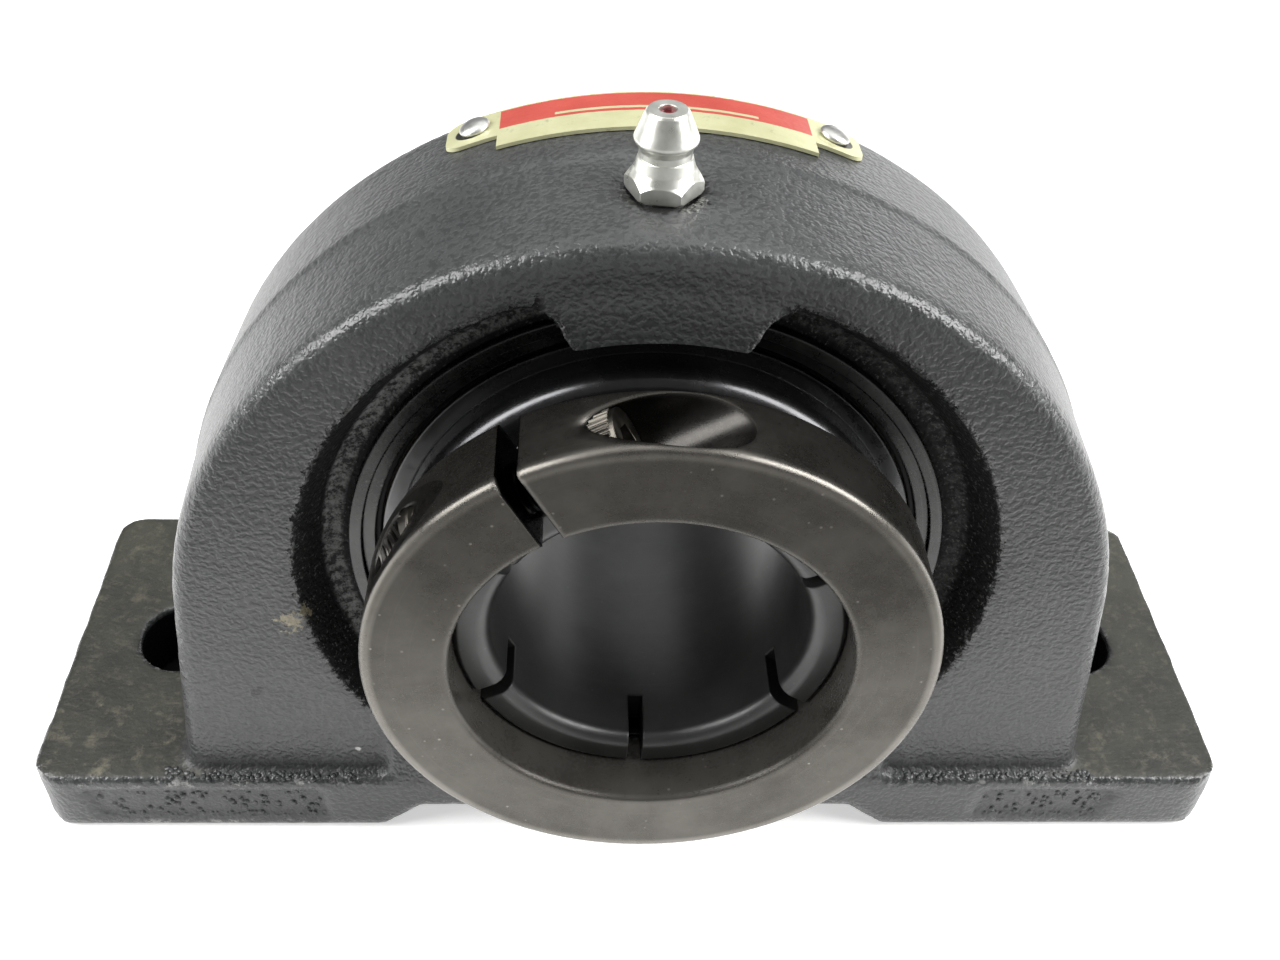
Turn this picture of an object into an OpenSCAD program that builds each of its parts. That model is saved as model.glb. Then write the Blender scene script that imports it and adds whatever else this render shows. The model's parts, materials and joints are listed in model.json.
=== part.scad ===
/* [Base] */
// Length of the base along the bolt line
base_length = 188.6; // [184:0.1:200]
// Depth of the base along the shaft
base_depth = 60.8; // [57:0.1:66]
// Thickness of the two feet
foot_thickness = 12; // [11:0.5:15]
// Corner radius of the feet seen from above
foot_corner_r = 6; // [2:0.5:8]
// Rounding of the upper edges of the feet
foot_edge_r = 1.2; // [0.5:0.1:2]
// Rounding of the lower end edges of the feet
foot_bottom_r = 3.5; // [1:0.5:5]
// Rounding of the lower front and back edges of the base
base_bottom_r = 1.4; // [0.5:0.1:2]
// Distance between the two bolt slots
bolt_spacing = 148; // [146:0.5:152]
// Width of a bolt slot
slot_width = 15; // [13:0.5:16]
// End-to-end length of a bolt slot
slot_length = 18.6; // [17:0.1:22]
// Radius kept free round each bolt for its washer
washer_room_r = 13; // [12:0.5:14]
// Height kept free over each foot for the bolt head
bolt_head_room = 22; // [18:0.5:24]
// Half the length of the relief under the base
relief_half_length = 40.6; // [38:0.1:44]
// Height of the relief under the base
relief_height = 5.2; // [3:0.1:5.4]
// Depth of the two sunk panels on the front of the base
panel_depth = 0.7; // [0.3:0.1:1.2]

/* [Arch] */
// Height of the shaft centre above the base
shaft_height = 52.4; // [52.2:0.1:54]
// Distance from the bolt line forward to the middle of the bearing
bearing_offset = 7; // [5:0.1:7.6]
// Depth of the arch along the shaft
arch_depth = 40.8; // [39:0.1:42]
// Radius of the arch at its front and back edges
arch_radius = 67.2; // [66.5:0.1:69.5]
// Height of the arch's own centre above the base
arch_centre_height = 39.8; // [39:0.1:42]
// Outward lean of the arch flanks in degrees
flank_lean = 6; // [4:0.5:8]
// Growth of the arch radius from its edges to its middle plane
arch_draft = 1.0; // [0.2:0.1:1.2]
// Rounding of the front and back edges of the arch
arch_edge_r = 2.4; // [1:0.1:3]
// Radius of the recess at the face of the arch
recess_r = 48.6; // [47.5:0.1:50]
// Radius of the recess at its floor
recess_floor_r = 45.2; // [44:0.1:46.5]
// Depth of the recess
recess_depth = 6.9; // [6:0.1:7.5]
// Height of the machined lip above the recess floor
lip_height = 2.1; // [1:0.1:3]
// Wall of the machined lip
lip_wall = 1; // [0.6:0.1:1.6]
// Half width of the tab over the bearing at the bearing opening
tab_half_width = 11.9; // [10:0.1:14]
// Side slope of the tab in degrees
tab_slope = 23; // [10:1:30]
// Rounding between the tab and the wall of the recess
tab_blend_r = 4.5; // [3:0.1:6]

/* [Bearing] */
// Bore for the shaft
shaft_bore = 42.86; // [42:0.01:43.5]
// Diameter of the spherical outside of the outer ring
ring_sphere_d = 85; // [84.6:0.1:86]
// Width of the outer ring
outer_ring_width = 28; // [27:0.1:29]
// Gap between the outer ring and its spherical seat
seat_gap = 0.2; // [0.1:0.05:0.3]
// Radius of the opening in front of the spherical seat
opening_r = 40.9; // [40.8:0.1:41.4]
// Ball diameter
ball_d = 12.7; // [12:0.1:13]
// Diameter of the circle through the ball centres
pitch_d = 65; // [64.8:0.1:65.4]
// Number of balls
ball_count = 10; // [8:1:10]
// Gap between a ball and each raceway
ball_gap = 0.15; // [0.1:0.05:0.25]
// Raceway radius as a share of the ball radius
raceway_share = 1.04; // [1.03:0.01:1.06]
// Height of each ring shoulder above the raceway floor
shoulder_height = 2.2; // [1.8:0.1:2.4]
// Radius of the inner ring where the collar grips it
ring_neck_r = 26.55; // [26.2:0.05:26.8]
// Distance from the bearing middle to the front end of the inner ring
ring_front = 30.4; // [29.5:0.1:31.5]
// Distance from the bearing middle to the back end of the inner ring
ring_back = 19; // [18.8:0.1:20]
// Number of slots in the front end of the inner ring
ring_slot_count = 6; // [5:1:8]
// Angle of the first slot above the right-hand side
ring_slot_angle = -93; // [-180:1:180]
// Depth of the slots from the ring's front end
ring_slot_depth = 8.3; // [6:0.1:9]
// Width of a slot in the inner ring
ring_slot_width = 2.1; // [1.5:0.1:3]
// Rounding of the inner ring's mouth
ring_mouth_r = 2; // [1:0.1:2.4]
// Gap between the cage pockets and the balls
pocket_gap = 0.25; // [0.2:0.05:0.4]

/* [Seals] */
// Thickness of the pressed shields
shield_t = 0.8; // [0.6:0.1:1]
// Wall of the outer ring outside a shield
shield_seat_wall = 1.8; // [1.4:0.1:2]
// Depth of a shield below the face of the outer ring
shield_sink = 0.9; // [0.6:0.1:1.2]
// Height of a shield's rim
shield_rim = 4; // [3.6:0.1:4.2]
// Thickness of the felt rings
felt_t = 2.4; // [2:0.1:2.6]
// Radius of the crown of the flingers
crown_r = 34.9; // [34:0.1:35.4]
// Rounding of the front crown's edge
crown_edge_r = 3.2; // [2:0.1:4]
// Sheet thickness of the flingers
flinger_t = 1; // [0.8:0.1:1.2]
// Height of the back flinger's crown
back_crown_height = 4.2; // [4:0.1:4.6]

/* [Lock collar] */
// Outside diameter of the lock collar
collar_d = 76; // [75:0.1:78]
// Width of the lock collar along the shaft
collar_width = 11.5; // [11:0.1:12.5]
// How far the collar stands past the inner ring
collar_lead = 6.6; // [5.5:0.1:7]
// Rounding of the collar's front outer edge
collar_edge_r = 0.8; // [0.4:0.1:1.2]
// Chamfer on the collar's other edges
collar_chamfer = 0.4; // [0.2:0.1:0.6]
// Width of the split in the collar
split_width = 3.0; // [2.4:0.1:4.5]
// Angle of the split above the right-hand side
split_angle = 119; // [110:1:125]
// Place of the clamp screw across the collar's wall, as a share from the bore
screw_place = 0.447; // [0.44:0.001:0.47]
// Shank diameter of the clamp screw as a share of the collar's wall
screw_share = 0.557; // [0.53:0.001:0.56]
// Length of the clamp screw under its head
screw_length = 24; // [20:0.5:25]
// Distance from the split to the seat of the screw head
head_seat = 6.8; // [6.4:0.1:8]

/* [Grease fitting] */
// Distance of the grease fitting in front of the bearing middle
fitting_lead = 7.3; // [7:0.1:8]
// Size of the fitting's hexagon across its flats
fitting_hex = 8.5; // [8:0.1:9]
// Turn of the hexagon from a flat facing forward in degrees
fitting_turn = -8; // [-30:1:30]
// Height of the hexagon's corners
fitting_corner_h = 1.4; // [1.2:0.1:2.4]
// Height of the hexagon with the cone over its corners
fitting_hex_h = 4.5; // [4:0.1:5]
// Height of the fitting above its seat
fitting_height = 10.4; // [10:0.1:11.5]
// Greatest diameter of the fitting's head
fitting_head_d = 7.9; // [7.6:0.1:8.2]
// Diameter of the flat tip of the fitting
fitting_tip_d = 4.8; // [4.5:0.1:5]
// Diameter of the threaded shank
fitting_thread_d = 6.35; // [6:0.05:6.5]
// Length of the threaded shank
fitting_thread_length = 7.4; // [7:0.1:8]
// Diameter of the check ball
check_ball_d = 2.6; // [2.5:0.05:2.7]
// Travel of the check ball
check_travel = 0.8; // [0.5:0.1:1]

/* [Nameplate] */
// Length of the plate's field over the arch
plate_length = 42; // [40:0.5:45]
// Width of the plate along the shaft
plate_width = 11.4; // [10:0.1:11.8]
// Distance from the bearing middle back to the plate's front edge
plate_start = 6.6; // [6.5:0.1:7]
// Thickness of the plate
plate_t = 0.5; // [0.3:0.1:0.8]
// Length of each end tab
plate_tab_length = 7; // [6:0.1:7.5]
// Width of each end tab
plate_tab_width = 8; // [7:0.1:9]
// Distance of each rivet from the middle of the plate
rivet_reach = 23.8; // [23.4:0.1:24.6]
// Head diameter of the rivets
rivet_head_d = 4.1; // [3.6:0.1:4.5]
// Shank diameter of the rivets
rivet_d = 2.4; // [2:0.1:2.6]
// Length of a rivet in the housing
rivet_depth = 5; // [3:0.5:6]

/* [Hidden] */
$fn = 96;
eps = 0.5;
// Clearance of pieces that slip together by hand
slip_gap = 0.05;
// Clearance between turning and still sheet pieces
turn_gap = 0.3;

ring_sphere_r = ring_sphere_d / 2;
seat_r = ring_sphere_r + seat_gap;
arch_half = arch_depth / 2;
front_face = -bearing_offset - arch_half;
recess_floor = arch_half - recess_depth;
ring_half = outer_ring_width / 2;

ball_r = ball_d / 2;
pitch_r = pitch_d / 2;
groove_r = ball_r * raceway_share;
inner_floor_r = pitch_r - ball_r - ball_gap;
outer_floor_r = pitch_r + ball_r + ball_gap;
inner_land_r = inner_floor_r + shoulder_height;
outer_land_r = outer_floor_r - shoulder_height;

// Faces of the sealing stack, counted from the bearing middle
shield_top = ring_half - shield_sink;
shield_base = shield_top - shield_rim;
ring_face_r = sqrt(pow(ring_sphere_r, 2) - pow(ring_half, 2));
shield_r = ring_face_r - shield_seat_wall;
brim_r = shield_r - shield_t - turn_gap;
brim_base = shield_top - turn_gap;
neck_step = shield_base + shield_t + felt_t;

collar_r = collar_d / 2;
collar_front = ring_front + collar_lead;
collar_back = collar_front - collar_width;
collar_bore_r = ring_neck_r + slip_gap;
collar_wall = collar_r - collar_bore_r;
screw_level = collar_back + collar_width / 2;
screw_reach = collar_bore_r + screw_place * collar_wall;
screw_d = screw_share * collar_wall;
screw_head_d = min(1.5 * screw_d, collar_width - 2);
screw_head_h = screw_d;
screw_pocket_d = screw_head_d + 0.5;
crown_height = collar_back - turn_gap - brim_base;

// Cage, clear of the shoulders of both rings
cage_end_wall = 1.9;
cage_room = 2;
cage_half = ball_r + cage_end_wall;
cage_inner_r = inner_land_r + cage_room;
cage_outer_r = outer_land_r - cage_room;

// Lock pin that keeps the outer ring from creeping in its seat
pin_r = 2.4;
pin_floor = 1.7;
pin_reach = 2.5;
pin_bottom = outer_floor_r + pin_floor;
pin_top = seat_r + pin_reach;
tilt_limit = 2;
pin_swing = pin_top * sin(tilt_limit);

grease_groove = 7;
grease_hole_r = 1.2;

fitting_y = -bearing_offset - fitting_lead;
fitting_seat = arch_centre_height + arch_radius;
fitting_neck_drop = 0.7;
fitting_neck_r = fitting_head_d / 2 - fitting_neck_drop;
check_gap = 0.2;
chamber_r = check_ball_d / 2 + check_gap;
tip_hole_r = check_ball_d / 2 - check_gap;
tip_lip = 0.8;
check_drop = sqrt(pow(check_ball_d / 2, 2) - pow(tip_hole_r, 2)) + 0.02;
check_level = fitting_height - tip_lip - check_drop;
spring_wire_r = 0.2;
spring_turns = 7;
spring_block = 2 * spring_wire_r * (spring_turns + 3);
spring_floor = check_level - check_ball_d / 2 - check_travel - spring_block;

rivet_angle = asin(rivet_reach / arch_radius);
plate_middle = plate_start + plate_width / 2;
tab_middle = plate_start + plate_width - plate_tab_width / 2;

housing_paint = [0.27, 0.28, 0.28];
black_oxide = [0.25, 0.23, 0.2];
bright_steel = [0.72, 0.73, 0.75];
dark_steel = [0.35, 0.35, 0.36];
zinc = [0.8, 0.8, 0.78];
brass = [0.8, 0.72, 0.45];
felt_grey = [0.3, 0.28, 0.25];

function ball_name(i) = str("ball_", i < 10 ? "0" : "", i);

// Points along an arc from angle a to angle b
function arc(x, y, r, a, b, steps = 8) =
    [for (i = [0 : steps]) [x + r * cos(a + (b - a) * i / steps), y + r * sin(a + (b - a) * i / steps)]];

// Radius of the arch at a distance from its middle plane
function arch_surface(z) = arch_radius + arch_draft * (1 - abs(z) / (arch_half - arch_edge_r));

// Puts shapes on the shaft axis, with +Z towards the collar and +Y up
module at_bearing() {
    translate([0, -bearing_offset, shaft_height])
        rotate([90, 0, 0])
            children();
}

// Puts shapes on the arch's own axis, turned like the bearing
module at_arch() {
    translate([0, -bearing_offset, arch_centre_height])
        rotate([90, 0, 0])
            children();
}

module rounded_plan(length, depth, r) {
    square([length - 2 * r, depth], center = true);
    square([length, depth - 2 * r], center = true);
    for (x = [-1, 1], y = [-1, 1])
        translate([x * (length / 2 - r), y * (depth / 2 - r)])
            circle(r);
}

module slot_plan(length, width) {
    square([length - width, width], center = true);
    for (x = [-1, 1])
        translate([x * (length - width) / 2, 0])
            circle(d = width);
}

// Outline of the feet seen from the front
module foot_outline() {
    half = base_length / 2;
    low = half - foot_bottom_r;
    high = half - foot_edge_r;
    polygon(concat(
        arc(-low, foot_bottom_r, foot_bottom_r, 180, 270),
        arc(low, foot_bottom_r, foot_bottom_r, 270, 360),
        arc(high, foot_thickness - foot_edge_r, foot_edge_r, 0, 90),
        arc(-high, foot_thickness - foot_edge_r, foot_edge_r, 90, 180)));
}

// Outline of the base seen from its end
module base_outline() {
    half = base_depth / 2;
    low = half - base_bottom_r;
    high = half - foot_edge_r;
    polygon(concat(
        arc(-low, base_bottom_r, base_bottom_r, 180, 270),
        arc(low, base_bottom_r, base_bottom_r, 270, 360),
        arc(high, foot_thickness - foot_edge_r, foot_edge_r, 0, 90),
        arc(-high, foot_thickness - foot_edge_r, foot_edge_r, 90, 180)));
}

module base_slab() {
    intersection() {
        linear_extrude(foot_thickness)
            rounded_plan(base_length, base_depth, foot_corner_r);
        rotate([90, 0, 0])
            linear_extrude(base_depth, center = true)
                foot_outline();
        rotate([90, 0, 90])
            linear_extrude(base_length, center = true)
                base_outline();
    }
}

// Section of the arch from its core out, with drafted outside and round edges
module arch_section(core) {
    edge_x = arch_radius - arch_edge_r;
    edge_y = arch_half - arch_edge_r;
    polygon(concat(
        [[core, -arch_half]],
        arc(edge_x, -edge_y, arch_edge_r, -90, 0),
        [[arch_radius + arch_draft, 0]],
        arc(edge_x, edge_y, arch_edge_r, 0, 90),
        [[core, arch_half]]));
}

module arch_body() {
    core = arch_radius / 3;
    sunk = foot_thickness / 2;
    drop = arch_centre_height + arch_radius * sin(flank_lean) - sunk;
    at_arch() {
        rotate(flank_lean)
            rotate_extrude(angle = 180 - 2 * flank_lean)
                arch_section(core);
        for (side = [0, 1])
            mirror([side, 0, 0])
                rotate(flank_lean)
                    rotate([90, 0, 0])
                        linear_extrude(drop / cos(flank_lean))
                            arch_section(core);
    }
    translate([-core * 1.4, front_face, sunk])
        cube([core * 2.8, arch_depth, arch_centre_height + core]);
}

// Slope that carries the base's front up into the arch below the bearing
module front_slope() {
    rise = 2.4 * (base_depth / 2 + front_face);
    rotate([90, 0, 90])
        linear_extrude(2 * relief_half_length - 4, center = true)
            polygon([
                [front_face + 1, foot_thickness + rise],
                [front_face, foot_thickness + rise],
                [-base_depth / 2, foot_thickness - foot_edge_r],
                [-base_depth / 2, foot_thickness / 2],
                [front_face + 1, foot_thickness / 2]]);
}

// Recess on one face of the arch, level at the bottom and leaving the machined lip
module face_recess() {
    widen = (recess_r - recess_floor_r) / recess_depth;
    lip_r = opening_r + lip_wall;
    difference() {
        translate([0, 0, recess_floor])
            cylinder(h = recess_depth + eps, r1 = recess_floor_r, r2 = recess_r + widen * eps);
        translate([0, 0, recess_floor - eps])
            cylinder(h = lip_height + eps, r = lip_r);
        translate([-recess_r, -lip_r - recess_r, 0])
            cube([2 * recess_r, recess_r, arch_depth]);
    }
}

// Half of the tab's outline, its side blending into the wall of the recess
module half_tab() {
    sunk = 3;
    low = opening_r - sunk;
    high = recess_r + sunk;
    blend_off = tab_half_width * cos(tab_slope) - opening_r * sin(tab_slope) + tab_blend_r;
    blend_along = sqrt(pow(recess_r - tab_blend_r, 2) - pow(blend_off, 2));
    blend_angle = atan2(blend_along, blend_off) - tab_slope;
    blend_x = (recess_r - tab_blend_r) * cos(blend_angle);
    blend_y = (recess_r - tab_blend_r) * sin(blend_angle);
    polygon(concat(
        [[-eps, high], [-eps, low], [tab_half_width - sunk * tan(tab_slope), low]],
        arc(blend_x, blend_y, tab_blend_r, 180 - tab_slope, blend_angle),
        [[high * cos(blend_angle), high]]));
}

// Tab that carries the grease passage down to the bearing opening
module grease_tab() {
    translate([0, 0, recess_floor - eps])
        linear_extrude(recess_depth + 3 * eps) {
            half_tab();
            mirror([1, 0])
                half_tab();
        }
}

// Spherical seat, its openings and the notches that let the bearing in from behind
module seat_cut() {
    notch = outer_ring_width + 2 * turn_gap;
    sphere(seat_r);
    cylinder(h = arch_depth + 2 * eps, r = opening_r, center = true);
    difference() {
        face_recess();
        grease_tab();
    }
    mirror([0, 0, 1])
        face_recess();
    intersection() {
        translate([0, 0, -arch_half - eps])
            cylinder(h = arch_half + eps, r = seat_r);
        cube([3 * seat_r, notch, 3 * arch_depth], center = true);
    }
    rotate([-90, 0, 0])
        linear_extrude(pin_top + turn_gap)
            rotate(90)
                slot_plan(2 * (pin_r + pin_swing + turn_gap), 2 * (pin_r + slip_gap));
}

module bolt_cuts() {
    for (side = [-1, 1]) {
        translate([side * bolt_spacing / 2, 0, -eps])
            linear_extrude(foot_thickness + 2 * eps)
                slot_plan(slot_length, slot_width);
        translate([side * bolt_spacing / 2, 0, foot_thickness])
            linear_extrude(bolt_head_room) {
                circle(washer_room_r);
                translate([-washer_room_r, 0])
                    square([2 * washer_room_r, base_depth]);
                translate([side > 0 ? 0 : -base_length, -washer_room_r])
                    square([base_length, base_depth]);
            }
    }
}

module relief_cut() {
    rotate([90, 0, 0])
        linear_extrude(base_depth + 2 * eps, center = true)
            polygon([
                [-relief_half_length - eps, -eps],
                [relief_half_length + eps, -eps],
                [relief_half_length - 1.25 * relief_height, relief_height],
                [-relief_half_length + 1.25 * relief_height, relief_height]]);
}

// Outline of one sunk panel, from its outer end on the way to the middle of the base
module panel_outline(outer, length) {
    low = 0.18 * foot_thickness;
    high = 0.82 * foot_thickness;
    lean = 0.25 * foot_thickness;
    polygon([[outer + lean, low], [outer + length, low], [outer + length - lean / 3, high], [outer, high]]);
}

// Two sunk panels on the front of the base, a long one and a short one
module panel_cuts() {
    translate([0, -base_depth / 2 + panel_depth, 0])
        rotate([90, 0, 0])
            linear_extrude(panel_depth + eps) {
                panel_outline(-0.463 * base_length, 0.208 * base_length);
                mirror([1, 0])
                    panel_outline(-0.415 * base_length, 0.128 * base_length);
            }
}

// Seat, threaded hole and slanted passage of the grease fitting
module grease_cuts() {
    bottom = fitting_seat - fitting_thread_length - 0.5;
    groove_level = shaft_height + sqrt(pow(seat_r, 2) - pow(grease_groove, 2));
    run = fitting_lead - grease_groove;
    fall = bottom + 1 - groove_level;
    translate([0, fitting_y, fitting_seat])
        cylinder(h = 5, r = fitting_hex / 2 + 2);
    translate([0, fitting_y, bottom])
        cylinder(h = fitting_seat - bottom + eps, d = fitting_thread_d + 2 * slip_gap);
    translate([0, fitting_y, bottom + 1])
        rotate([-atan2(run, -fall), 0, 0])
            cylinder(h = norm([run, fall]) + 1, r = grease_hole_r);
}

// Carries shapes to each rivet, with +Z out of the arch
module at_rivets() {
    at_arch()
        for (side = [-1, 1])
            rotate(90 + side * rivet_angle)
                translate([arch_surface(tab_middle), 0, -tab_middle])
                    rotate([0, 90, 0])
                        children();
}

module housing() {
    color(housing_paint)
        difference() {
            union() {
                base_slab();
                arch_body();
                front_slope();
            }
            at_bearing()
                seat_cut();
            bolt_cuts();
            relief_cut();
            panel_cuts();
            grease_cuts();
            at_rivets()
                translate([0, 0, -rivet_depth - 0.3])
                    cylinder(h = rivet_depth + 2, d = rivet_d + 2 * slip_gap);
        }
}

// Outside of the fitting above its hexagon
module fitting_head() {
    head_r = fitting_head_d / 2;
    tip_r = fitting_tip_d / 2;
    bulge = fitting_hex_h + 2.3;
    under = 0.5 * fitting_neck_drop;
    rotate_extrude()
        polygon(concat(
            [[0, fitting_hex_h - under],
             [fitting_neck_r, fitting_hex_h - under],
             [fitting_neck_r, bulge - 2 * fitting_neck_drop]],
            arc(head_r - fitting_neck_drop, bulge, fitting_neck_drop, -60, 20, 6),
            [[tip_r + 0.25, fitting_height - 0.3],
             [tip_r, fitting_height],
             [0, fitting_height]]));
}

// Hexagon under a hollow cone that leaves low corners and rises to the neck
module fitting_hexagon() {
    flat_r = fitting_hex / 2;
    corner_r = flat_r / cos(30);
    rise = fitting_hex_h - fitting_corner_h;
    rotate(fitting_turn)
        intersection() {
            cylinder(h = fitting_hex_h, r = corner_r, $fn = 6);
            rotate_extrude()
                polygon([
                    [0, 0],
                    [corner_r - 0.3, 0],
                    [corner_r, 0.3],
                    [corner_r, fitting_corner_h],
                    [flat_r, fitting_corner_h + 0.24 * rise],
                    [(flat_r + fitting_neck_r) / 2, fitting_corner_h + 0.54 * rise],
                    [fitting_neck_r + 0.1, fitting_hex_h],
                    [0, fitting_hex_h]]);
        }
}

module at_fitting() {
    translate([0, fitting_y, fitting_seat])
        children();
}

module grease_fitting() {
    color(zinc)
        at_fitting()
            difference() {
                union() {
                    fitting_hexagon();
                    fitting_head();
                    translate([0, 0, -fitting_thread_length])
                        cylinder(h = fitting_thread_length + 0.1, d = fitting_thread_d);
                }
                translate([0, 0, -fitting_thread_length - eps])
                    cylinder(h = fitting_thread_length + fitting_height, r = 0.8);
                translate([0, 0, spring_floor])
                    cylinder(h = fitting_height - tip_lip - spring_floor, r = chamber_r);
                translate([0, 0, fitting_height - tip_lip - eps])
                    cylinder(h = tip_lip + 2 * eps, r = tip_hole_r);
            }
}

module grease_check_ball() {
    color(bright_steel)
        at_fitting()
            translate([0, 0, check_level])
                sphere(d = check_ball_d);
}

// One ring of the spring wire's skin, at a share of the coil
function spring_ring(share, coil_r, low, high, turns, sides) =
    let (a = 360 * turns * share, z = low + (high - low) * share)
    [for (k = [0 : sides - 1])
        let (r = coil_r + spring_wire_r * cos(360 * k / sides))
        [r * cos(a), r * sin(a), z + spring_wire_r * sin(360 * k / sides)]];

module coil(coil_r, low, high, turns) {
    sides = 8;
    rings = 12 * turns;
    points = [for (i = [0 : rings]) each spring_ring(i / rings, coil_r, low, high, turns, sides)];
    skin = [for (i = [0 : rings - 1], k = [0 : sides - 1])
        let (next = (k + 1) % sides)
        [i * sides + k, (i + 1) * sides + k, (i + 1) * sides + next, i * sides + next]];
    start = [for (k = [0 : sides - 1]) k];
    finish = [for (k = [sides - 1 : -1 : 0]) rings * sides + k];
    polyhedron(points, concat(skin, [start, finish]));
}

module grease_check_spring() {
    low = spring_floor + spring_wire_r + 0.05;
    high = check_level - check_ball_d / 2 - spring_wire_r + 0.1;
    color(bright_steel)
        at_fitting()
            coil(chamber_r - 0.55, low, high, spring_turns);
}

// Outline of the plate seen from above, its field and two end tabs
module plate_plan() {
    tab_r = 2.5;
    translate([0, plate_middle - bearing_offset])
        square([plate_length, plate_width], center = true);
    translate([0, tab_middle - bearing_offset])
        rounded_plan(plate_length + 2 * plate_tab_length, plate_tab_width, tab_r);
}

module nameplate() {
    back = plate_start + plate_width;
    low = slip_gap;
    high = slip_gap + plate_t;
    color(brass)
        difference() {
            intersection() {
                at_arch()
                    rotate_extrude()
                        polygon([
                            [arch_surface(plate_start) + low, -plate_start],
                            [arch_surface(plate_start) + high, -plate_start],
                            [arch_surface(back) + high, -back],
                            [arch_surface(back) + low, -back]]);
                translate([0, 0, arch_centre_height])
                    linear_extrude(arch_radius + 5)
                        plate_plan();
            }
            at_rivets()
                translate([0, 0, -1])
                    cylinder(h = 3, d = rivet_d + 0.3);
        }
}

module plate_rivets() {
    low = plate_t + 3 * slip_gap;
    dome = 0.62 * rivet_head_d / 2;
    color(bright_steel)
        at_rivets()
            rotate_extrude()
                polygon(concat(
                    [[0, -rivet_depth],
                     [rivet_d / 2, -rivet_depth],
                     [rivet_d / 2, low],
                     [rivet_head_d / 2, low]],
                    [for (a = [15 : 15 : 90]) [rivet_head_d / 2 * cos(a), low + dome * sin(a)]]));
}

module lock_pin() {
    color(bright_steel)
        at_bearing()
            rotate([-90, 0, 0])
                translate([0, 0, pin_bottom])
                    cylinder(h = pin_top - pin_bottom, r = pin_r);
}

module raceway(floor_r, way) {
    rotate_extrude()
        translate([floor_r + way * groove_r, 0])
            circle(groove_r);
}

module outer_ring() {
    color(bright_steel)
        at_bearing()
            difference() {
                intersection() {
                    sphere(ring_sphere_r);
                    difference() {
                        cylinder(h = outer_ring_width, r = ring_sphere_r + 1, center = true);
                        cylinder(h = outer_ring_width + 2 * eps, r = outer_land_r, center = true);
                        for (end = [0, 1])
                            mirror([0, 0, end])
                                translate([0, 0, shield_base])
                                    cylinder(h = ring_half, r = shield_r);
                    }
                }
                raceway(outer_floor_r, -1);
                translate([0, 0, grease_groove])
                    rotate_extrude()
                        translate([sqrt(pow(ring_sphere_r, 2) - pow(grease_groove, 2)), 0])
                            circle(grease_hole_r);
                rotate([-90, 0, 0])
                    translate([0, -grease_groove, 0])
                        cylinder(h = ring_sphere_r, r = grease_hole_r);
                rotate([-90, 0, 0])
                    translate([0, 0, pin_bottom - slip_gap])
                        cylinder(h = ring_sphere_r, r = pin_r + slip_gap);
            }
}

module inner_ring() {
    bore_r = shaft_bore / 2;
    chamfer = 0.7;
    color(dark_steel)
        at_bearing()
            difference() {
                rotate_extrude()
                    polygon(concat(
                        [[bore_r, -ring_back + chamfer],
                         [bore_r + chamfer, -ring_back],
                         [ring_neck_r - chamfer, -ring_back],
                         [ring_neck_r, -ring_back + chamfer],
                         [ring_neck_r, -neck_step],
                         [inner_land_r, -neck_step],
                         [inner_land_r, neck_step],
                         [ring_neck_r, neck_step],
                         [ring_neck_r, ring_front - chamfer],
                         [ring_neck_r - chamfer, ring_front]],
                        arc(bore_r + ring_mouth_r, ring_front - ring_mouth_r, ring_mouth_r, 90, 180)));
                raceway(inner_floor_r, 1);
                for (i = [1 : ring_slot_count])
                    rotate(ring_slot_angle + 360 / ring_slot_count * i)
                        translate([bore_r - 2, -ring_slot_width / 2, ring_front - ring_slot_depth])
                            cube([ring_neck_r - bore_r + 4, ring_slot_width, ring_slot_depth + eps]);
            }
}

module ball_cage() {
    color(brass)
        at_bearing()
            difference() {
                rotate_extrude()
                    translate([cage_inner_r, -cage_half])
                        square([cage_outer_r - cage_inner_r, 2 * cage_half]);
                for (i = [1 : ball_count])
                    rotate(360 / ball_count * i)
                        rotate([0, 90, 0])
                            cylinder(h = pitch_d, r = ball_r + pocket_gap);
            }
}

module ball(i) {
    color(bright_steel)
        at_bearing()
            rotate(360 / ball_count * i)
                translate([pitch_r, 0, 0])
                    sphere(ball_r);
}

// Pressed ring with a rim that seats in the outer ring
module shield() {
    color(dark_steel)
        rotate_extrude()
            polygon([
                [inner_land_r + 2 * turn_gap, shield_base],
                [shield_r, shield_base],
                [shield_r, shield_top],
                [shield_r - shield_t, shield_top],
                [shield_r - shield_t, shield_base + shield_t],
                [inner_land_r + 2 * turn_gap, shield_base + shield_t]]);
}

module felt() {
    color(felt_grey)
        rotate_extrude()
            translate([inner_land_r + turn_gap, shield_base + shield_t + slip_gap])
                square([shield_r - shield_t - slip_gap - inner_land_r - turn_gap, felt_t - slip_gap]);
}

// Hat-shaped sheet ring on the inner ring, brim over the felt and crown outwards
module flinger(height, edge_r) {
    top = brim_base + height;
    inner_edge_r = edge_r - flinger_t;
    color(black_oxide)
        rotate_extrude()
            polygon(concat(
                [[brim_r, brim_base], [brim_r, brim_base + flinger_t], [crown_r, brim_base + flinger_t]],
                arc(crown_r - edge_r, top - edge_r, edge_r, 0, 90),
                [[collar_bore_r, top], [collar_bore_r, top - flinger_t]],
                arc(crown_r - edge_r, top - edge_r, inner_edge_r, 90, 0),
                [[crown_r - flinger_t, brim_base]]));
}

module front_shield() {
    at_bearing()
        shield();
}

module back_shield() {
    at_bearing()
        mirror([0, 0, 1])
            shield();
}

module front_felt() {
    at_bearing()
        felt();
}

module back_felt() {
    at_bearing()
        mirror([0, 0, 1])
            felt();
}

module front_flinger() {
    at_bearing()
        flinger(crown_height, crown_edge_r);
}

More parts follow.
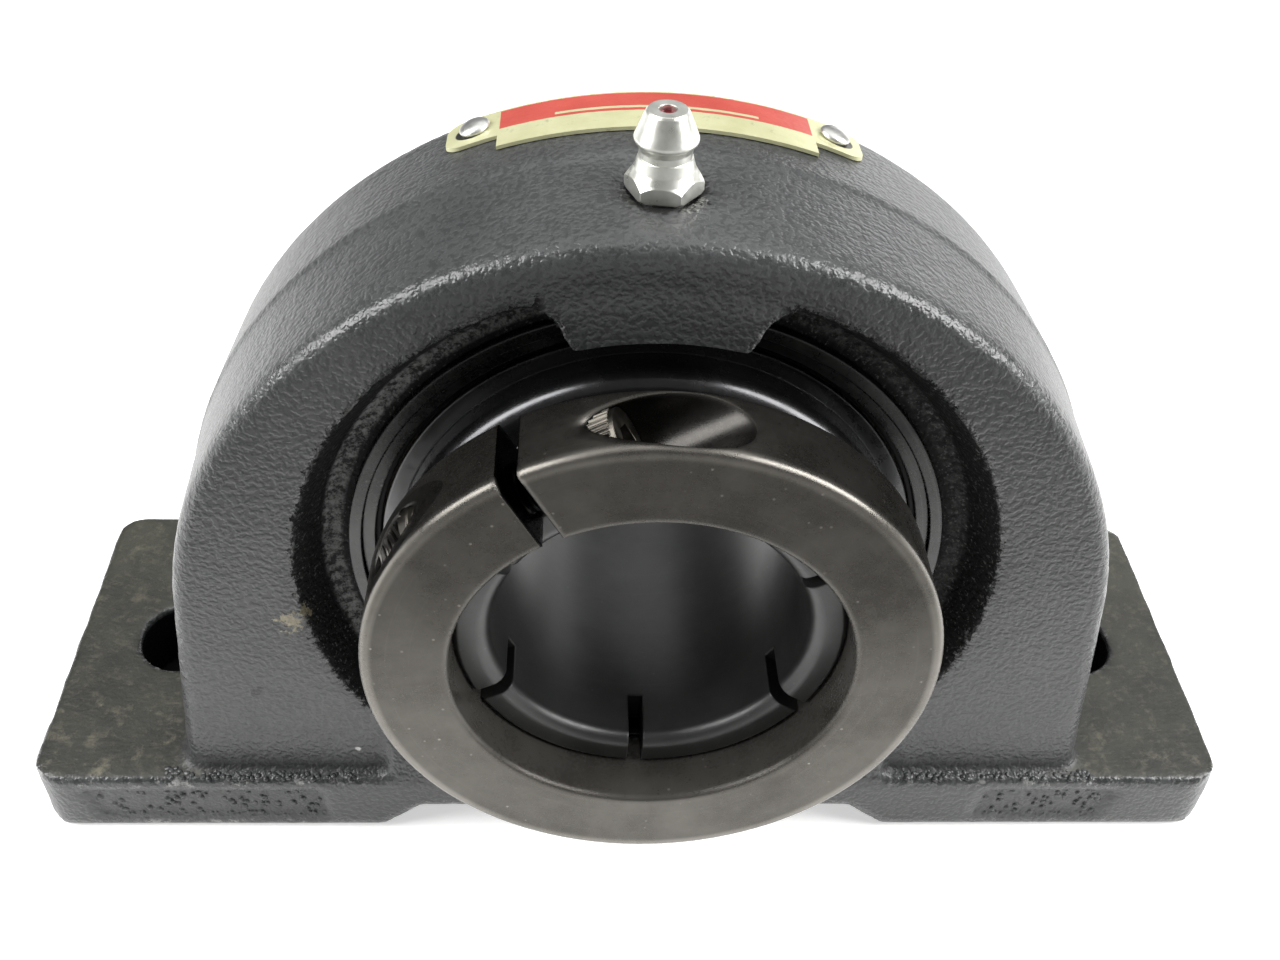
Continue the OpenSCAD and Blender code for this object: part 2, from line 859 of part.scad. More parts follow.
module back_flinger() {
    at_bearing()
        mirror([0, 0, 1])
            flinger(back_crown_height, back_crown_height / 2);
}

// Carries shapes to the clamp screw, with +Z from the split towards its head
module at_screw() {
    at_bearing()
        rotate(split_angle)
            translate([screw_reach, 0, screw_level])
                rotate([90, 0, 0])
                    children();
}

module lock_collar() {
    c = collar_chamfer;
    e = collar_edge_r;
    reach = 2 * collar_r;
    color(black_oxide)
        difference() {
            at_bearing()
                difference() {
                    rotate_extrude()
                        polygon(concat(
                            [[collar_bore_r, collar_back],
                             [collar_r - c, collar_back],
                             [collar_r, collar_back + c]],
                            arc(collar_r - e, collar_front - e, e, 0, 90, 6),
                            [[collar_bore_r + c, collar_front],
                             [collar_bore_r, collar_front - c]]));
                    rotate(split_angle)
                        translate([0, -split_width / 2, collar_back - eps])
                            cube([reach, split_width, collar_width + 2 * eps]);
                }
            at_screw() {
                translate([0, 0, head_seat])
                    cylinder(h = reach, d = screw_pocket_d);
                cylinder(h = head_seat + eps, d = screw_d + 0.4);
                translate([0, 0, -reach])
                    cylinder(h = reach, d = screw_d + 2 * slip_gap);
            }
        }
}

module collar_screw() {
    socket_d = 0.87 * screw_d;
    color(bright_steel)
        at_screw()
            translate([0, 0, head_seat])
                difference() {
                    union() {
                        cylinder(h = screw_head_h, d = screw_head_d);
                        translate([0, 0, -screw_length])
                            cylinder(h = screw_length + eps, d = screw_d);
                    }
                    translate([0, 0, screw_head_h / 2])
                        cylinder(h = screw_head_h, d = socket_d, $fn = 6);
                }
}

housing();
grease_fitting();
grease_check_ball();
grease_check_spring();
nameplate();
plate_rivets();
lock_pin();
outer_ring();
inner_ring();
ball_cage();
for (i = [1 : ball_count])
    ball(i);
front_shield();
back_shield();
front_felt();
back_felt();
front_flinger();
back_flinger();
lock_collar();
collar_screw();
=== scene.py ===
import json
import math

import bmesh
import bpy
import numpy as np
from mathutils import Matrix, Vector

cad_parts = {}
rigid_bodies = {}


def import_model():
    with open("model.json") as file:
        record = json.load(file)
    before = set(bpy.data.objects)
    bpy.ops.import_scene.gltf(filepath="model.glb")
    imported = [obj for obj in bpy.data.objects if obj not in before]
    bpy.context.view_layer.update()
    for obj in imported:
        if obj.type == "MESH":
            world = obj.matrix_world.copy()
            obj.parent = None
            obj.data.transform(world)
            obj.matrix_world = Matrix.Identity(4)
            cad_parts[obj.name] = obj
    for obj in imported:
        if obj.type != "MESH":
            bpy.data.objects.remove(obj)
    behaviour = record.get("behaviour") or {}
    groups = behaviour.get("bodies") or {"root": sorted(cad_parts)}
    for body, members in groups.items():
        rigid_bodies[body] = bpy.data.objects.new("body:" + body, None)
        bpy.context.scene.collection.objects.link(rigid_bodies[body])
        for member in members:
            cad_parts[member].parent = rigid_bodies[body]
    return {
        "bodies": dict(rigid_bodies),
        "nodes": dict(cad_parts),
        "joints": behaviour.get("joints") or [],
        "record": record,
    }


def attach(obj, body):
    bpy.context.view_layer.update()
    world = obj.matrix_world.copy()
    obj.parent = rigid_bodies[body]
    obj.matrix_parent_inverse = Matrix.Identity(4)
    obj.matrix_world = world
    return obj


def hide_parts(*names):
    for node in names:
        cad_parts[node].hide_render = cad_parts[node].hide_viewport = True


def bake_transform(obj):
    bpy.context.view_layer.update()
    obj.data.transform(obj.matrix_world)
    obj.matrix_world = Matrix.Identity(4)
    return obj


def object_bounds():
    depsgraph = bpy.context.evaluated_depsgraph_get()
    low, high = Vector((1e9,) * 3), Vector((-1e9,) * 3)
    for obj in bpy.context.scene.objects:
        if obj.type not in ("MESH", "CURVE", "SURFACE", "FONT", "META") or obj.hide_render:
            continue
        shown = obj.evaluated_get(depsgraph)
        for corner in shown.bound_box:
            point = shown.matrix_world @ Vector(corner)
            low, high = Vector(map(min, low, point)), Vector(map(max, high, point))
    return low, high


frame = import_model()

cadBox = [list(corner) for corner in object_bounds()]
nodes = frame["nodes"]
shaftY = -0.007                # middle of the bearing along the shaft
shaftZ = 0.0524                # height of the shaft
archZ = 0.0398                 # height of the arch's own centre
print("frame loaded:", len(nodes), "nodes")


# small helpers for meshes

def newObject(name, mesh):
    obj = bpy.data.objects.new(name, mesh)
    bpy.context.scene.collection.objects.link(obj)
    return obj


def meshFromBm(name, bm):
    mesh = bpy.data.meshes.new(name)
    bm.to_mesh(mesh)
    bm.free()
    return mesh


def bakedMesh(obj, name):
    # turns the object with its live modifiers into a plain mesh
    bpy.context.view_layer.update()
    graph = bpy.context.evaluated_depsgraph_get()
    mesh = bpy.data.meshes.new_from_object(obj.evaluated_get(graph), depsgraph=graph)
    mesh.name = name
    obj.modifiers.clear()
    old = obj.data
    obj.data = mesh
    bpy.data.meshes.remove(old)
    return mesh


def mergedCopy(nodeName, name, distance=2e-6):
    bm = bmesh.new()
    bm.from_mesh(nodes[nodeName].data)
    bmesh.ops.remove_doubles(bm, verts=bm.verts, dist=distance)
    return meshFromBm(name, bm)


def points(mesh):
    co = np.empty(len(mesh.vertices) * 3, np.float32)
    mesh.vertices.foreach_get("co", co)
    return co.reshape(-1, 3).astype(float)


def setPoints(mesh, co):
    mesh.vertices.foreach_set("co", co.astype(np.float32).ravel())
    mesh.update()


def smoothShade(mesh, angle=None):
    for face in mesh.polygons:
        face.use_smooth = True
    if angle is not None:
        mesh.set_sharp_from_angle(angle=math.radians(angle))


def spunProfile(name, profile, steps):
    # closed ring about the shaft: profile is radius and lead towards the collar, in mm
    bm = bmesh.new()
    rows = []
    for k in range(steps):
        a = 2 * math.pi * k / steps
        rows.append([bm.verts.new((r * math.cos(a) / 1000, shaftY - lead / 1000, shaftZ + r * math.sin(a) / 1000))
                     for r, lead in profile])
    for k in range(steps):
        here, there = rows[k], rows[(k + 1) % steps]
        for i in range(len(profile)):
            j = (i + 1) % len(profile)
            bm.faces.new((here[i], here[j], there[j], there[i]))
    bmesh.ops.recalc_face_normals(bm, faces=bm.faces)
    return meshFromBm(name, bm)


# small helpers for node trees

def addNode(tree, kind, inputs=None, **settings):
    node = tree.nodes.new(kind)
    for key, value in settings.items():
        setattr(node, key, value)
    for key, value in (inputs or {}).items():
        socket = node.inputs[key]
        if isinstance(value, bpy.types.NodeSocket):
            tree.links.new(value, socket)
        else:
            socket.default_value = value
    return node


def noiseAt(tree, place, scale, detail=3.0, rough=0.55, distort=0.0):
    return addNode(tree, "ShaderNodeTexNoise", {"Vector": place, "Scale": scale, "Detail": detail,
                                               "Roughness": rough, "Distortion": distort}).outputs[0]


def cellsAt(tree, place, scale, feature="F1", spread=1.0):
    return addNode(tree, "ShaderNodeTexVoronoi", {"Vector": place, "Scale": scale, "Randomness": spread},
                   feature=feature).outputs[0]


def remap(tree, value, low, high, toLow=0.0, toHigh=1.0):
    return addNode(tree, "ShaderNodeMapRange", {"Value": value, "From Min": low, "From Max": high,
                                               "To Min": toLow, "To Max": toHigh}).outputs[0]


def sums(tree, operation, a, b=0.0, c=0.0):
    node = addNode(tree, "ShaderNodeMath", operation=operation)
    for i, value in enumerate((a, b, c)):
        if i >= len(node.inputs):
            break
        if isinstance(value, bpy.types.NodeSocket):
            tree.links.new(value, node.inputs[i])
        else:
            node.inputs[i].default_value = value
    return node.outputs[0]


def times(tree, a, b):
    return sums(tree, "MULTIPLY", a, b)


def plus(tree, a, b):
    return sums(tree, "ADD", a, b)


def minus(tree, a, b):
    return sums(tree, "SUBTRACT", a, b)


def sizeOf(tree, a):
    return sums(tree, "ABSOLUTE", a)


def most(tree, a, b):
    return sums(tree, "MAXIMUM", a, b)


def below(tree, a, b):
    return sums(tree, "LESS_THAN", a, b)


def above(tree, a, b):
    return sums(tree, "GREATER_THAN", a, b)


def farOf(tree, a, b):
    # root of the sum of two squares
    return sums(tree, "SQRT", plus(tree, times(tree, a, a), times(tree, b, b)))


def axesOf(tree, place):
    return addNode(tree, "ShaderNodeSeparateXYZ", {0: place}).outputs


def lengthOf(tree, vector):
    return addNode(tree, "ShaderNodeVectorMath", {0: vector}, operation="LENGTH").outputs["Value"]


def distanceTo(tree, place, spot):
    return addNode(tree, "ShaderNodeVectorMath", {0: place, 1: spot}, operation="DISTANCE").outputs["Value"]


def softEdges(tree, radius):
    return addNode(tree, "ShaderNodeBevel", {"Radius": radius}, samples=6).outputs[0]


def blendColour(tree, share, first, second, mode="MIX"):
    node = addNode(tree, "ShaderNodeMix", data_type="RGBA", blend_type=mode)
    for socket, value in ((node.inputs[0], share), (node.inputs[6], first), (node.inputs[7], second)):
        if isinstance(value, bpy.types.NodeSocket):
            tree.links.new(value, socket)
        else:
            socket.default_value = value if not isinstance(value, tuple) or len(value) == 4 else (*value, 1.0)
    return node.outputs[2]


def bumpOn(tree, height, strength, distance, normal=None):
    inputs = {"Height": height, "Strength": strength, "Distance": distance}
    if normal is not None:
        inputs["Normal"] = normal
    return addNode(tree, "ShaderNodeBump", inputs).outputs[0]


def newFinish(name, metallic, **sockets):
    finish = bpy.data.materials.new(name)
    finish.use_nodes = True
    tree = finish.node_tree
    tree.nodes.clear()
    out = tree.nodes.new("ShaderNodeOutputMaterial")
    shader = tree.nodes.new("ShaderNodeBsdfPrincipled")
    shader.inputs["Metallic"].default_value = metallic
    for key, value in sockets.items():
        shader.inputs[key.replace("_", " ")].default_value = value
    tree.links.new(shader.outputs[0], out.inputs[0])
    place = tree.nodes.new("ShaderNodeTexCoord").outputs["Object"]
    return finish, tree, shader, place


def feed(tree, shader, **sockets):
    for key, value in sockets.items():
        tree.links.new(value, shader.inputs[key.replace("_", " ")])


def shaftPolar(tree, place):
    # radius from the shaft axis, in metres, and lead along it
    parts = axesOf(tree, place)
    return farOf(tree, parts[0], minus(tree, parts[2], shaftZ)), parts[1]


# camera at the photograph's viewing angle

cameraSettings = {
    "place": (-0.01072, -0.16662, 0.19149),
    "pitch": 40.67, "yaw": 3.63, "roll": 2.96,
    "lens": 39.67, "sensor": 36.0,
}


def buildCamera(s):
    pitch, yaw, roll = (math.radians(s[k]) for k in ("pitch", "yaw", "roll"))
    ahead = Vector((math.sin(yaw) * math.cos(pitch), math.cos(yaw) * math.cos(pitch), -math.sin(pitch)))
    level = Vector((math.cos(yaw), -math.sin(yaw), 0))
    rise = level.cross(ahead)
    right = math.cos(roll) * level + math.sin(roll) * rise
    up = -math.sin(roll) * level + math.cos(roll) * rise
    data = bpy.data.cameras.new("photoCamera")
    data.lens, data.sensor_width = s["lens"], s["sensor"]
    data.clip_start, data.clip_end = 0.01, 20
    obj = bpy.data.objects.new("photoCamera", data)
    bpy.context.scene.collection.objects.link(obj)
    obj.matrix_world = Matrix.Translation(s["place"]) @ Matrix((right, up, -ahead)).transposed().to_4x4()
    bpy.context.scene.camera = obj


buildCamera(cameraSettings)
print("camera set")


# floor, light and background

stageSettings = {
    "floorHalf": 3.0, "floorColour": (0.86, 0.86, 0.85), "floorGlow": 0.54, "darkHole": 0.0175, "holeReach": 0.074,
    "farFrom": 0.45, "farTo": 1.3,
    "worldFill": 0.16, "topPower": 5.0, "topSize": (1.1, 1.1), "leftPower": 6.7, "rightPower": 7.8,
    "sideSize": (0.40, 0.56), "backPower": 0.9, "backSize": (0.4, 0.3),
    "cardColour": (0.34, 0.34, 0.33, 1), "cardNear": -0.096, "cardFar": -0.75, "cardHalf": 0.45,
}


def addQuad(bm, corners):
    return bm.faces.new([bm.verts.new(corner) for corner in corners])


def buildFloor(s):
    bm = bmesh.new()
    h = s["floorHalf"]
    addQuad(bm, [(x, y, -0.0002) for x, y in ((-h, -h), (h, -h), (h, h), (-h, h))])
    floor = newObject("studioFloor", meshFromBm("studioFloor", bm))
    paper, tree, shader, place = newFinish("palePaper", 0.0, Roughness=0.9, Specular_IOR_Level=0.1)
    shader.inputs["Emission Color"].default_value = (1, 1, 1, 1)
    tone = blendColour(tree, noiseAt(tree, place, 30), (0.84, 0.84, 0.835), s["floorColour"])
    rays = tree.nodes.new("ShaderNodeLightPath")
    seen = most(tree, rays.outputs["Is Camera Ray"],
                most(tree, rays.outputs["Is Glossy Ray"], rays.outputs["Is Transmission Ray"]))
    parts = axesOf(tree, place)
    fromHole = addNode(tree, "ShaderNodeCombineXYZ", {
        0: minus(tree, sizeOf(tree, parts[0]), s["holeReach"]), 1: parts[1]})
    away = lengthOf(tree, fromHole.outputs[0])
    glow = remap(tree, away, s["darkHole"], s["darkHole"] + 0.004, 0, s["floorGlow"])
    far = lengthOf(tree, place)
    glow = plus(tree, glow, remap(tree, far, s["farFrom"], s["farTo"], 0, 1.0 - s["floorGlow"]))
    # painted shade: the floor under the bolt holes is painted dark
    tone = blendColour(tree, remap(tree, away, s["darkHole"], s["darkHole"] + 0.002, 1, 0), tone, (0.02, 0.02, 0.02))
    feed(tree, shader, Base_Color=tone, Emission_Strength=times(tree, seen, glow))
    floor.data.materials.append(paper)


def buildWorld(s):
    world = bpy.data.worlds.new("studioWorld")
    world.use_nodes = True
    tree = world.node_tree
    tree.nodes.clear()
    out = tree.nodes.new("ShaderNodeOutputWorld")
    fill = addNode(tree, "ShaderNodeBackground", {"Color": (1, 1, 1, 1), "Strength": s["worldFill"]})
    white = addNode(tree, "ShaderNodeBackground", {"Color": (1, 1, 1, 1), "Strength": 1.0})
    rays = tree.nodes.new("ShaderNodeLightPath")
    seen = most(tree, rays.outputs["Is Camera Ray"], rays.outputs["Is Transmission Ray"])
    mix = addNode(tree, "ShaderNodeMixShader", {0: seen, 1: fill.outputs[0], 2: white.outputs[0]})
    tree.links.new(mix.outputs[0], out.inputs[0])
    bpy.context.scene.world = world


def addSoftbox(name, place, target, size, power):
    data = bpy.data.lights.new(name, "AREA")
    data.shape, data.energy = "RECTANGLE", power
    data.size, data.size_y = size
    obj = bpy.data.objects.new(name, data)
    bpy.context.scene.collection.objects.link(obj)
    obj.location = place
    obj.rotation_euler = (Vector(target) - Vector(place)).to_track_quat("-Z", "Y").to_euler()


def buildCard(s):
    # dark card lying in front, out of the picture, that only reflections and bounced light meet
    bm = bmesh.new()
    addQuad(bm, [(x * s["cardHalf"], y, 0.001) for x, y in (
        (-1, s["cardFar"]), (1, s["cardFar"]), (1, s["cardNear"]), (-1, s["cardNear"]))])
    card = newObject("darkCard", meshFromBm("darkCard", bm))
    felt, tree, shader, place = newFinish("cardFelt", 0.0, Roughness=0.9, Specular_IOR_Level=0.1)
    feed(tree, shader, Base_Color=blendColour(tree, noiseAt(tree, place, 80), (0.28, 0.28, 0.28), s["cardColour"]))
    card.data.materials.append(felt)
    card.visible_camera = False
    card.visible_shadow = False


bpy.context.scene.view_settings.view_transform = "Standard"
buildFloor(stageSettings)
buildWorld(stageSettings)
addSoftbox("topSoftbox", (0.05, 0.25, 0.95), (0, 0, 0.05), stageSettings["topSize"], stageSettings["topPower"])
addSoftbox("leftSoftbox", (-0.54, -0.09, 0.46), (0, 0, 0.05), stageSettings["sideSize"], stageSettings["leftPower"])
addSoftbox("rightSoftbox", (0.54, -0.10, 0.46), (0, 0, 0.05), stageSettings["sideSize"], stageSettings["rightPower"])
addSoftbox("backSoftbox", (0.50, 0.80, 0.20), (0, 0, 0.08), stageSettings["backSize"], stageSettings["backPower"])
buildCard(stageSettings)
print("stage and light set")


# finishes

paintSettings = {
    "dark": (0.040, 0.042, 0.042), "light": (0.057, 0.059, 0.059), "hollow": (0.006, 0.006, 0.006),
    "padDark": (0.019, 0.019, 0.015), "pad": (0.036, 0.036, 0.027), "padDirt": (0.13, 0.12, 0.085),
    "bare": (0.50, 0.50, 0.48), "dustAndLight": (0.26, 0.26, 0.255), "speck": (0.20, 0.20, 0.195),
    "pitScale": 1250.0, "bumpHeight": 0.00015, "bumpStrength": 0.48,
    # where the recess, its floor, the grease tab and the bolt slots lie
    "recessEdge": (0.0490, 0.0488), "recessFront": -0.0279, "recessBack": 0.0139, "floorEdge": (0.0458, 0.0452),
    "floorLead": (-0.0225, -0.0212), "lipLine": (0.0427, 0.0433), "tabEdge": (0.0150, 0.0140),
    "tabFace": (-0.0271, -0.0268), "slotReach": 0.0740, "slotHalf": 0.0130, "slotSide": 0.0090, "slotTop": 0.0110,
}
markSettings = (
    # place, size, size of the solid core, raggedness and colour of:
    # tan scuff on the rim, a pit in the face painted black as a painted shade, a fleck of dust in the face, oil round
    # the grease fitting
    ((-0.0502, -0.0274, 0.0445), 0.0018, 0.0010, 1.6, (0.27, 0.24, 0.16)),
    ((-0.0480, -0.0274, 0.0458), 0.0012, 0.0007, 1.6, (0.20, 0.18, 0.12)),
    ((-0.0569, -0.0274, 0.0295), 0.0012, 0.0007, 0.8, (0.004, 0.004, 0.004)),
    ((-0.0433, -0.0274, 0.0161), 0.0005, 0.0003, 0.2, (0.55, 0.55, 0.53)),
    ((0.0, -0.0148, 0.1072), 0.0057, 0.0051, 1.2, (0.004, 0.004, 0.004)),
)


def castPaint(s, marks):
    finish, tree, shader, place = newFinish("castPaint", 0.0)
    shares = {name: addNode(tree, "ShaderNodeAttribute", attribute_name=name).outputs["Fac"]
              for name in ("edgeWear", "hollow", "pad")}
    radius, lead = shaftPolar(tree, place)
    broad = noiseAt(tree, place, 45, 3)
    skin = addNode(tree, "ShaderNodeMapRange", {
        "Value": noiseAt(tree, place, s["pitScale"], 1.5, 0.5), "From Min": 0.36, "From Max": 0.64},
        interpolation_type="SMOOTHSTEP").outputs[0]
    grain = noiseAt(tree, place, 3800, 2)
    base = blendColour(tree, remap(tree, broad, 0.35, 0.65), s["dark"], s["light"])
    # the low pits of the skin are painted darker, a painted shade in the pits
    base = blendColour(tree, remap(tree, skin, 0.0, 0.6, 0.35, 0), base, s["hollow"])
    # pads of the feet, rubbed and dirty
    dirt = remap(tree, noiseAt(tree, place, 260, 5, 0.7), 0.55, 0.72)
    patch = remap(tree, noiseAt(tree, place, 55, 2), 0.48, 0.62)
    wornAndLighter = remap(tree, noiseAt(tree, place, 140, 5, 0.65), 0.36, 0.64)
    # the pads are painted lighter towards the back
    wornAndLighter = plus(tree, wornAndLighter, remap(tree, lead, -0.03, 0.03, -0.3, 0.3))
    pad = blendColour(tree, wornAndLighter, s["padDark"], s["pad"])
    stain = remap(tree, noiseAt(tree, place, 620, 5, 0.75), 0.52, 0.66, 0.0, 0.30)
    pad = blendColour(tree, stain, pad, s["padDirt"])
    pad = blendColour(tree, times(tree, dirt, patch), pad, s["padDirt"])
    base = blendColour(tree, shares["pad"], base, pad)
    # painted shade: the creases and the whole recess are painted near black, where shade falls
    parts = axesOf(tree, place)
    across = parts[0]
    ragged = times(tree, minus(tree, noiseAt(tree, place, 700, 4, 0.75), 0.5), 0.006)
    onTab = times(tree, remap(tree, sizeOf(tree, across), *s["tabEdge"]), above(tree, parts[2], shaftZ))
    inside = most(tree, minus(tree, 1.0, onTab), remap(tree, lead, *s["tabFace"]))
    recess = times(tree, remap(tree, plus(tree, radius, ragged), *s["recessEdge"]),
                   times(tree, inside, above(tree, lead, s["recessFront"])))
    recess = times(tree, recess, below(tree, lead, s["recessBack"]))
    paintedShade = most(tree, times(tree, shares["hollow"], 0.7), times(tree, recess, 0.9))
    base = blendColour(tree, paintedShade, base, s["hollow"])
    # blotchy dust on the floor of the recess, painted lighter on the left as a painted pool of light; the dust stops
    # short of the lip, so a line of painted shade stays round it
    floor = times(tree, remap(tree, radius, *s["floorEdge"]), remap(tree, lead, *s["floorLead"]))
    floor = times(tree, floor, remap(tree, across, 0.030, -0.040, 0.22, 1.0))
    floor = times(tree, floor, remap(tree, radius, *s["lipLine"]))
    blotch = remap(tree, noiseAt(tree, place, 950, 4, 0.75), 0.42, 0.60, 0.08, 1.0)
    base = blendColour(tree, times(tree, floor, blotch), base, s["dustAndLight"])
    # painted glints: tiny light specks painted over the recess
    glint = times(tree, remap(tree, noiseAt(tree, place, 1900, 3, 0.7), 0.59, 0.67), recess)
    base = blendColour(tree, times(tree, glint, 0.6), base, s["speck"])
    # painted shade: the bolt slots are painted black inside
    slot = times(tree, below(tree, sizeOf(tree, parts[1]), s["slotSide"]), below(tree, parts[2], s["slotTop"]))
    offSlot = sizeOf(tree, minus(tree, sizeOf(tree, across), s["slotReach"]))
    slot = times(tree, slot, below(tree, offSlot, s["slotHalf"]))
    base = blendColour(tree, times(tree, slot, 0.9), base, s["hollow"])
    # chips and rubbed edges
    flake = remap(tree, noiseAt(tree, place, 420, 4, 0.75), 0.55, 0.62)
    chips = times(tree, remap(tree, shares["edgeWear"], 0.35, 0.85), flake)
    base = blendColour(tree, times(tree, chips, 0.8), base, s["bare"])
    for spot, size, core, rags, colour in marks:
        gap = distanceTo(tree, place, spot)
        share = remap(tree, plus(tree, gap, times(tree, ragged, rags)), size, core)
        base = blendColour(tree, share, base, colour)
    rough = remap(tree, grain, 0.3, 0.7, 0.30, 0.44)
    rough = plus(tree, rough, times(tree, paintedShade, 0.25))
    rough = plus(tree, rough, times(tree, shares["pad"], 0.12))
    # rounded edges are rubbed smooth in places
    rubAndSheen = remap(tree, shares["edgeWear"], 0.15, 0.40)
    rubAndSheen = times(tree, rubAndSheen, remap(tree, noiseAt(tree, place, 350, 3), 0.35, 0.55))
    rough = minus(tree, rough, times(tree, rubAndSheen, 0.14))
    high = times(tree, skin, remap(tree, shares["pad"], 0, 1, 1.0, 0.35))
    high = plus(tree, high, times(tree, noiseAt(tree, place, 1700, 3, 0.6), remap(tree, recess, 0, 1, 0.35, 1.2)))
    high = plus(tree, high, times(tree, grain, 0.06))
    gloss = most(tree, most(tree, recess, slot), times(tree, shares["hollow"], 0.6))
    gloss = remap(tree, gloss, 0, 1, 0.55, 0.12)
    feed(tree, shader, Base_Color=base, Roughness=rough, Specular_IOR_Level=gloss,
         Normal=bumpOn(tree, high, s["bumpStrength"], s["bumpHeight"]))
    return finish


splitAngle = math.radians(119)  # where the collar is split
screwReach = 0.031696           # clamp screw, from the shaft's axis
screwLead = 0.03125             # clamp screw, from the middle of the bearing


def splitFrame(tree, place):
    # way out along the collar's split, way across it, and place along the shaft
    parts = axesOf(tree, place)
    up = minus(tree, parts[2], shaftZ)
    along = plus(tree, times(tree, parts[0], math.cos(splitAngle)), times(tree, up, math.sin(splitAngle)))
    across = minus(tree, times(tree, up, math.cos(splitAngle)), times(tree, parts[0], math.sin(splitAngle)))
    return along, across, parts[1]


def splitShare(tree, place, half):
    # 1 on the walls of the collar's split, which are painted black, a painted shade in the narrow gap
    along, across, lead = splitFrame(tree, place)
    return times(tree, below(tree, sizeOf(tree, across), half), above(tree, along, 0.0))


def pocketShare(tree, place, half):
    # 1 on the walls round the clamp screw
    along, across, lead = splitFrame(tree, place)
    gap = farOf(tree, minus(tree, along, screwReach), minus(tree, lead, shaftY - screwLead))
    return below(tree, gap, half)


def oxideSteel(name, s):
    # blackened or oiled steel: cloudy tone, tiny flecks, fine scratches round the shaft, soft edges
    finish, tree, shader, place = newFinish(name, s["metallic"])
    radius, lead = shaftPolar(tree, place)
    inSplit = splitShare(tree, place, s["split"])
    wander = times(tree, noiseAt(tree, place, 40), 0.0006)
    turned = addNode(tree, "ShaderNodeCombineXYZ", {0: radius, 1: lead, 2: wander}).outputs[0]
    scratch = noiseAt(tree, turned, s["scratchScale"], 2, 0.6)
    cloud = noiseAt(tree, place, 75, 5, 0.65)
    fine = noiseAt(tree, place, 1700, 3)
    base = blendColour(tree, remap(tree, cloud, 0.3, 0.7), s["dark"], s["light"])
    bright = tuple(1.8 * c for c in s["light"])
    base = blendColour(tree, remap(tree, scratch, 0.56, 0.7, 0, s["scratch"]), base, bright)
    fleck = times(tree, remap(tree, cellsAt(tree, place, 520), 0.13, 0.07, 0, s["fleck"]),
                  remap(tree, noiseAt(tree, place, 170), 0.48, 0.60))
    base = blendColour(tree, fleck, base, tuple(min(1.0, 3.0 * c) for c in s["light"]))
    # painted shade: the walls of the split are painted black
    base = blendColour(tree, inSplit, base, (0.002, 0.002, 0.002))
    # a lighter band round the collar's front edge: partly rubbed wear, partly a painted highlight of the rounded
    # chamfer
    if s["wornAndLighter"] > 0:
        gap = farOf(tree, minus(tree, radius, s["wornAndLighter"]), minus(tree, lead, cadBox[0][1]))
        rubAndSheen = times(tree, remap(tree, gap, 0.0017, 0.0011), remap(tree, cloud, 0.3, 0.6, 0.4, 0.9))
        base = blendColour(tree, rubAndSheen, base, bright)
    # painted shade: beyond this radius the rims of the shields are painted near black, the shade in the seal groove
    if s["rim"] > 0:
        base = blendColour(tree, above(tree, radius, s["rim"]), base, (0.004, 0.004, 0.004))
    # painted shade: the walls of the screw's pocket are painted darker
    if s["pocket"] > 0:
        pocket = times(tree, pocketShare(tree, place, s["pocket"]), 0.62)
        base = blendColour(tree, pocket, base, (0.012, 0.012, 0.013))
    rough = remap(tree, plus(tree, times(tree, cloud, 0.6), times(tree, fine, 0.4)),
                  0.35, 0.65, s["rough"][0], s["rough"][1])
    soft = softEdges(tree, s["edge"])
    high = plus(tree, times(tree, scratch, s["scratch"]), times(tree, fine, 0.5))
    feed(tree, shader, Base_Color=base, Roughness=rough, Normal=bumpOn(tree, high, 0.06, 0.0002, soft))
    if s["inner"] > 0:
        feed(tree, shader, Metallic=remap(tree, radius, s["inner"], s["inner"] + 0.0004, 0.5, s["metallic"]))
    return finish


plainSteel = dict.fromkeys(("split", "inner", "pocket", "rim", "wornAndLighter"), 0.0)
collarSteel = {
    **plainSteel, "dark": (0.055, 0.051, 0.045), "light": (0.106, 0.100, 0.090), "metallic": 0.92,
    "rough": (0.24, 0.33), "scratchScale": 1500.0, "scratch": 0.10, "fleck": 0.6, "edge": 0.0011,
    "split": 0.0016, "inner": 0.0267, "pocket": 0.00507, "wornAndLighter": 0.0380,
}
ringSteel = {
    **plainSteel, "dark": (0.044, 0.044, 0.044), "light": (0.078, 0.078, 0.077), "metallic": 1.0,
    "rough": (0.22, 0.34), "scratchScale": 2200.0, "scratch": 0.35, "fleck": 0.2, "edge": 0.0003,
}
boreSteel = {
    **plainSteel, "dark": (0.072, 0.073, 0.072), "light": (0.104, 0.105, 0.104), "metallic": 0.8,
    "rough": (0.34, 0.44), "scratchScale": 1200.0, "scratch": 0.04, "fleck": 0.1, "edge": 0.0004, "rim": 0.0365,
}


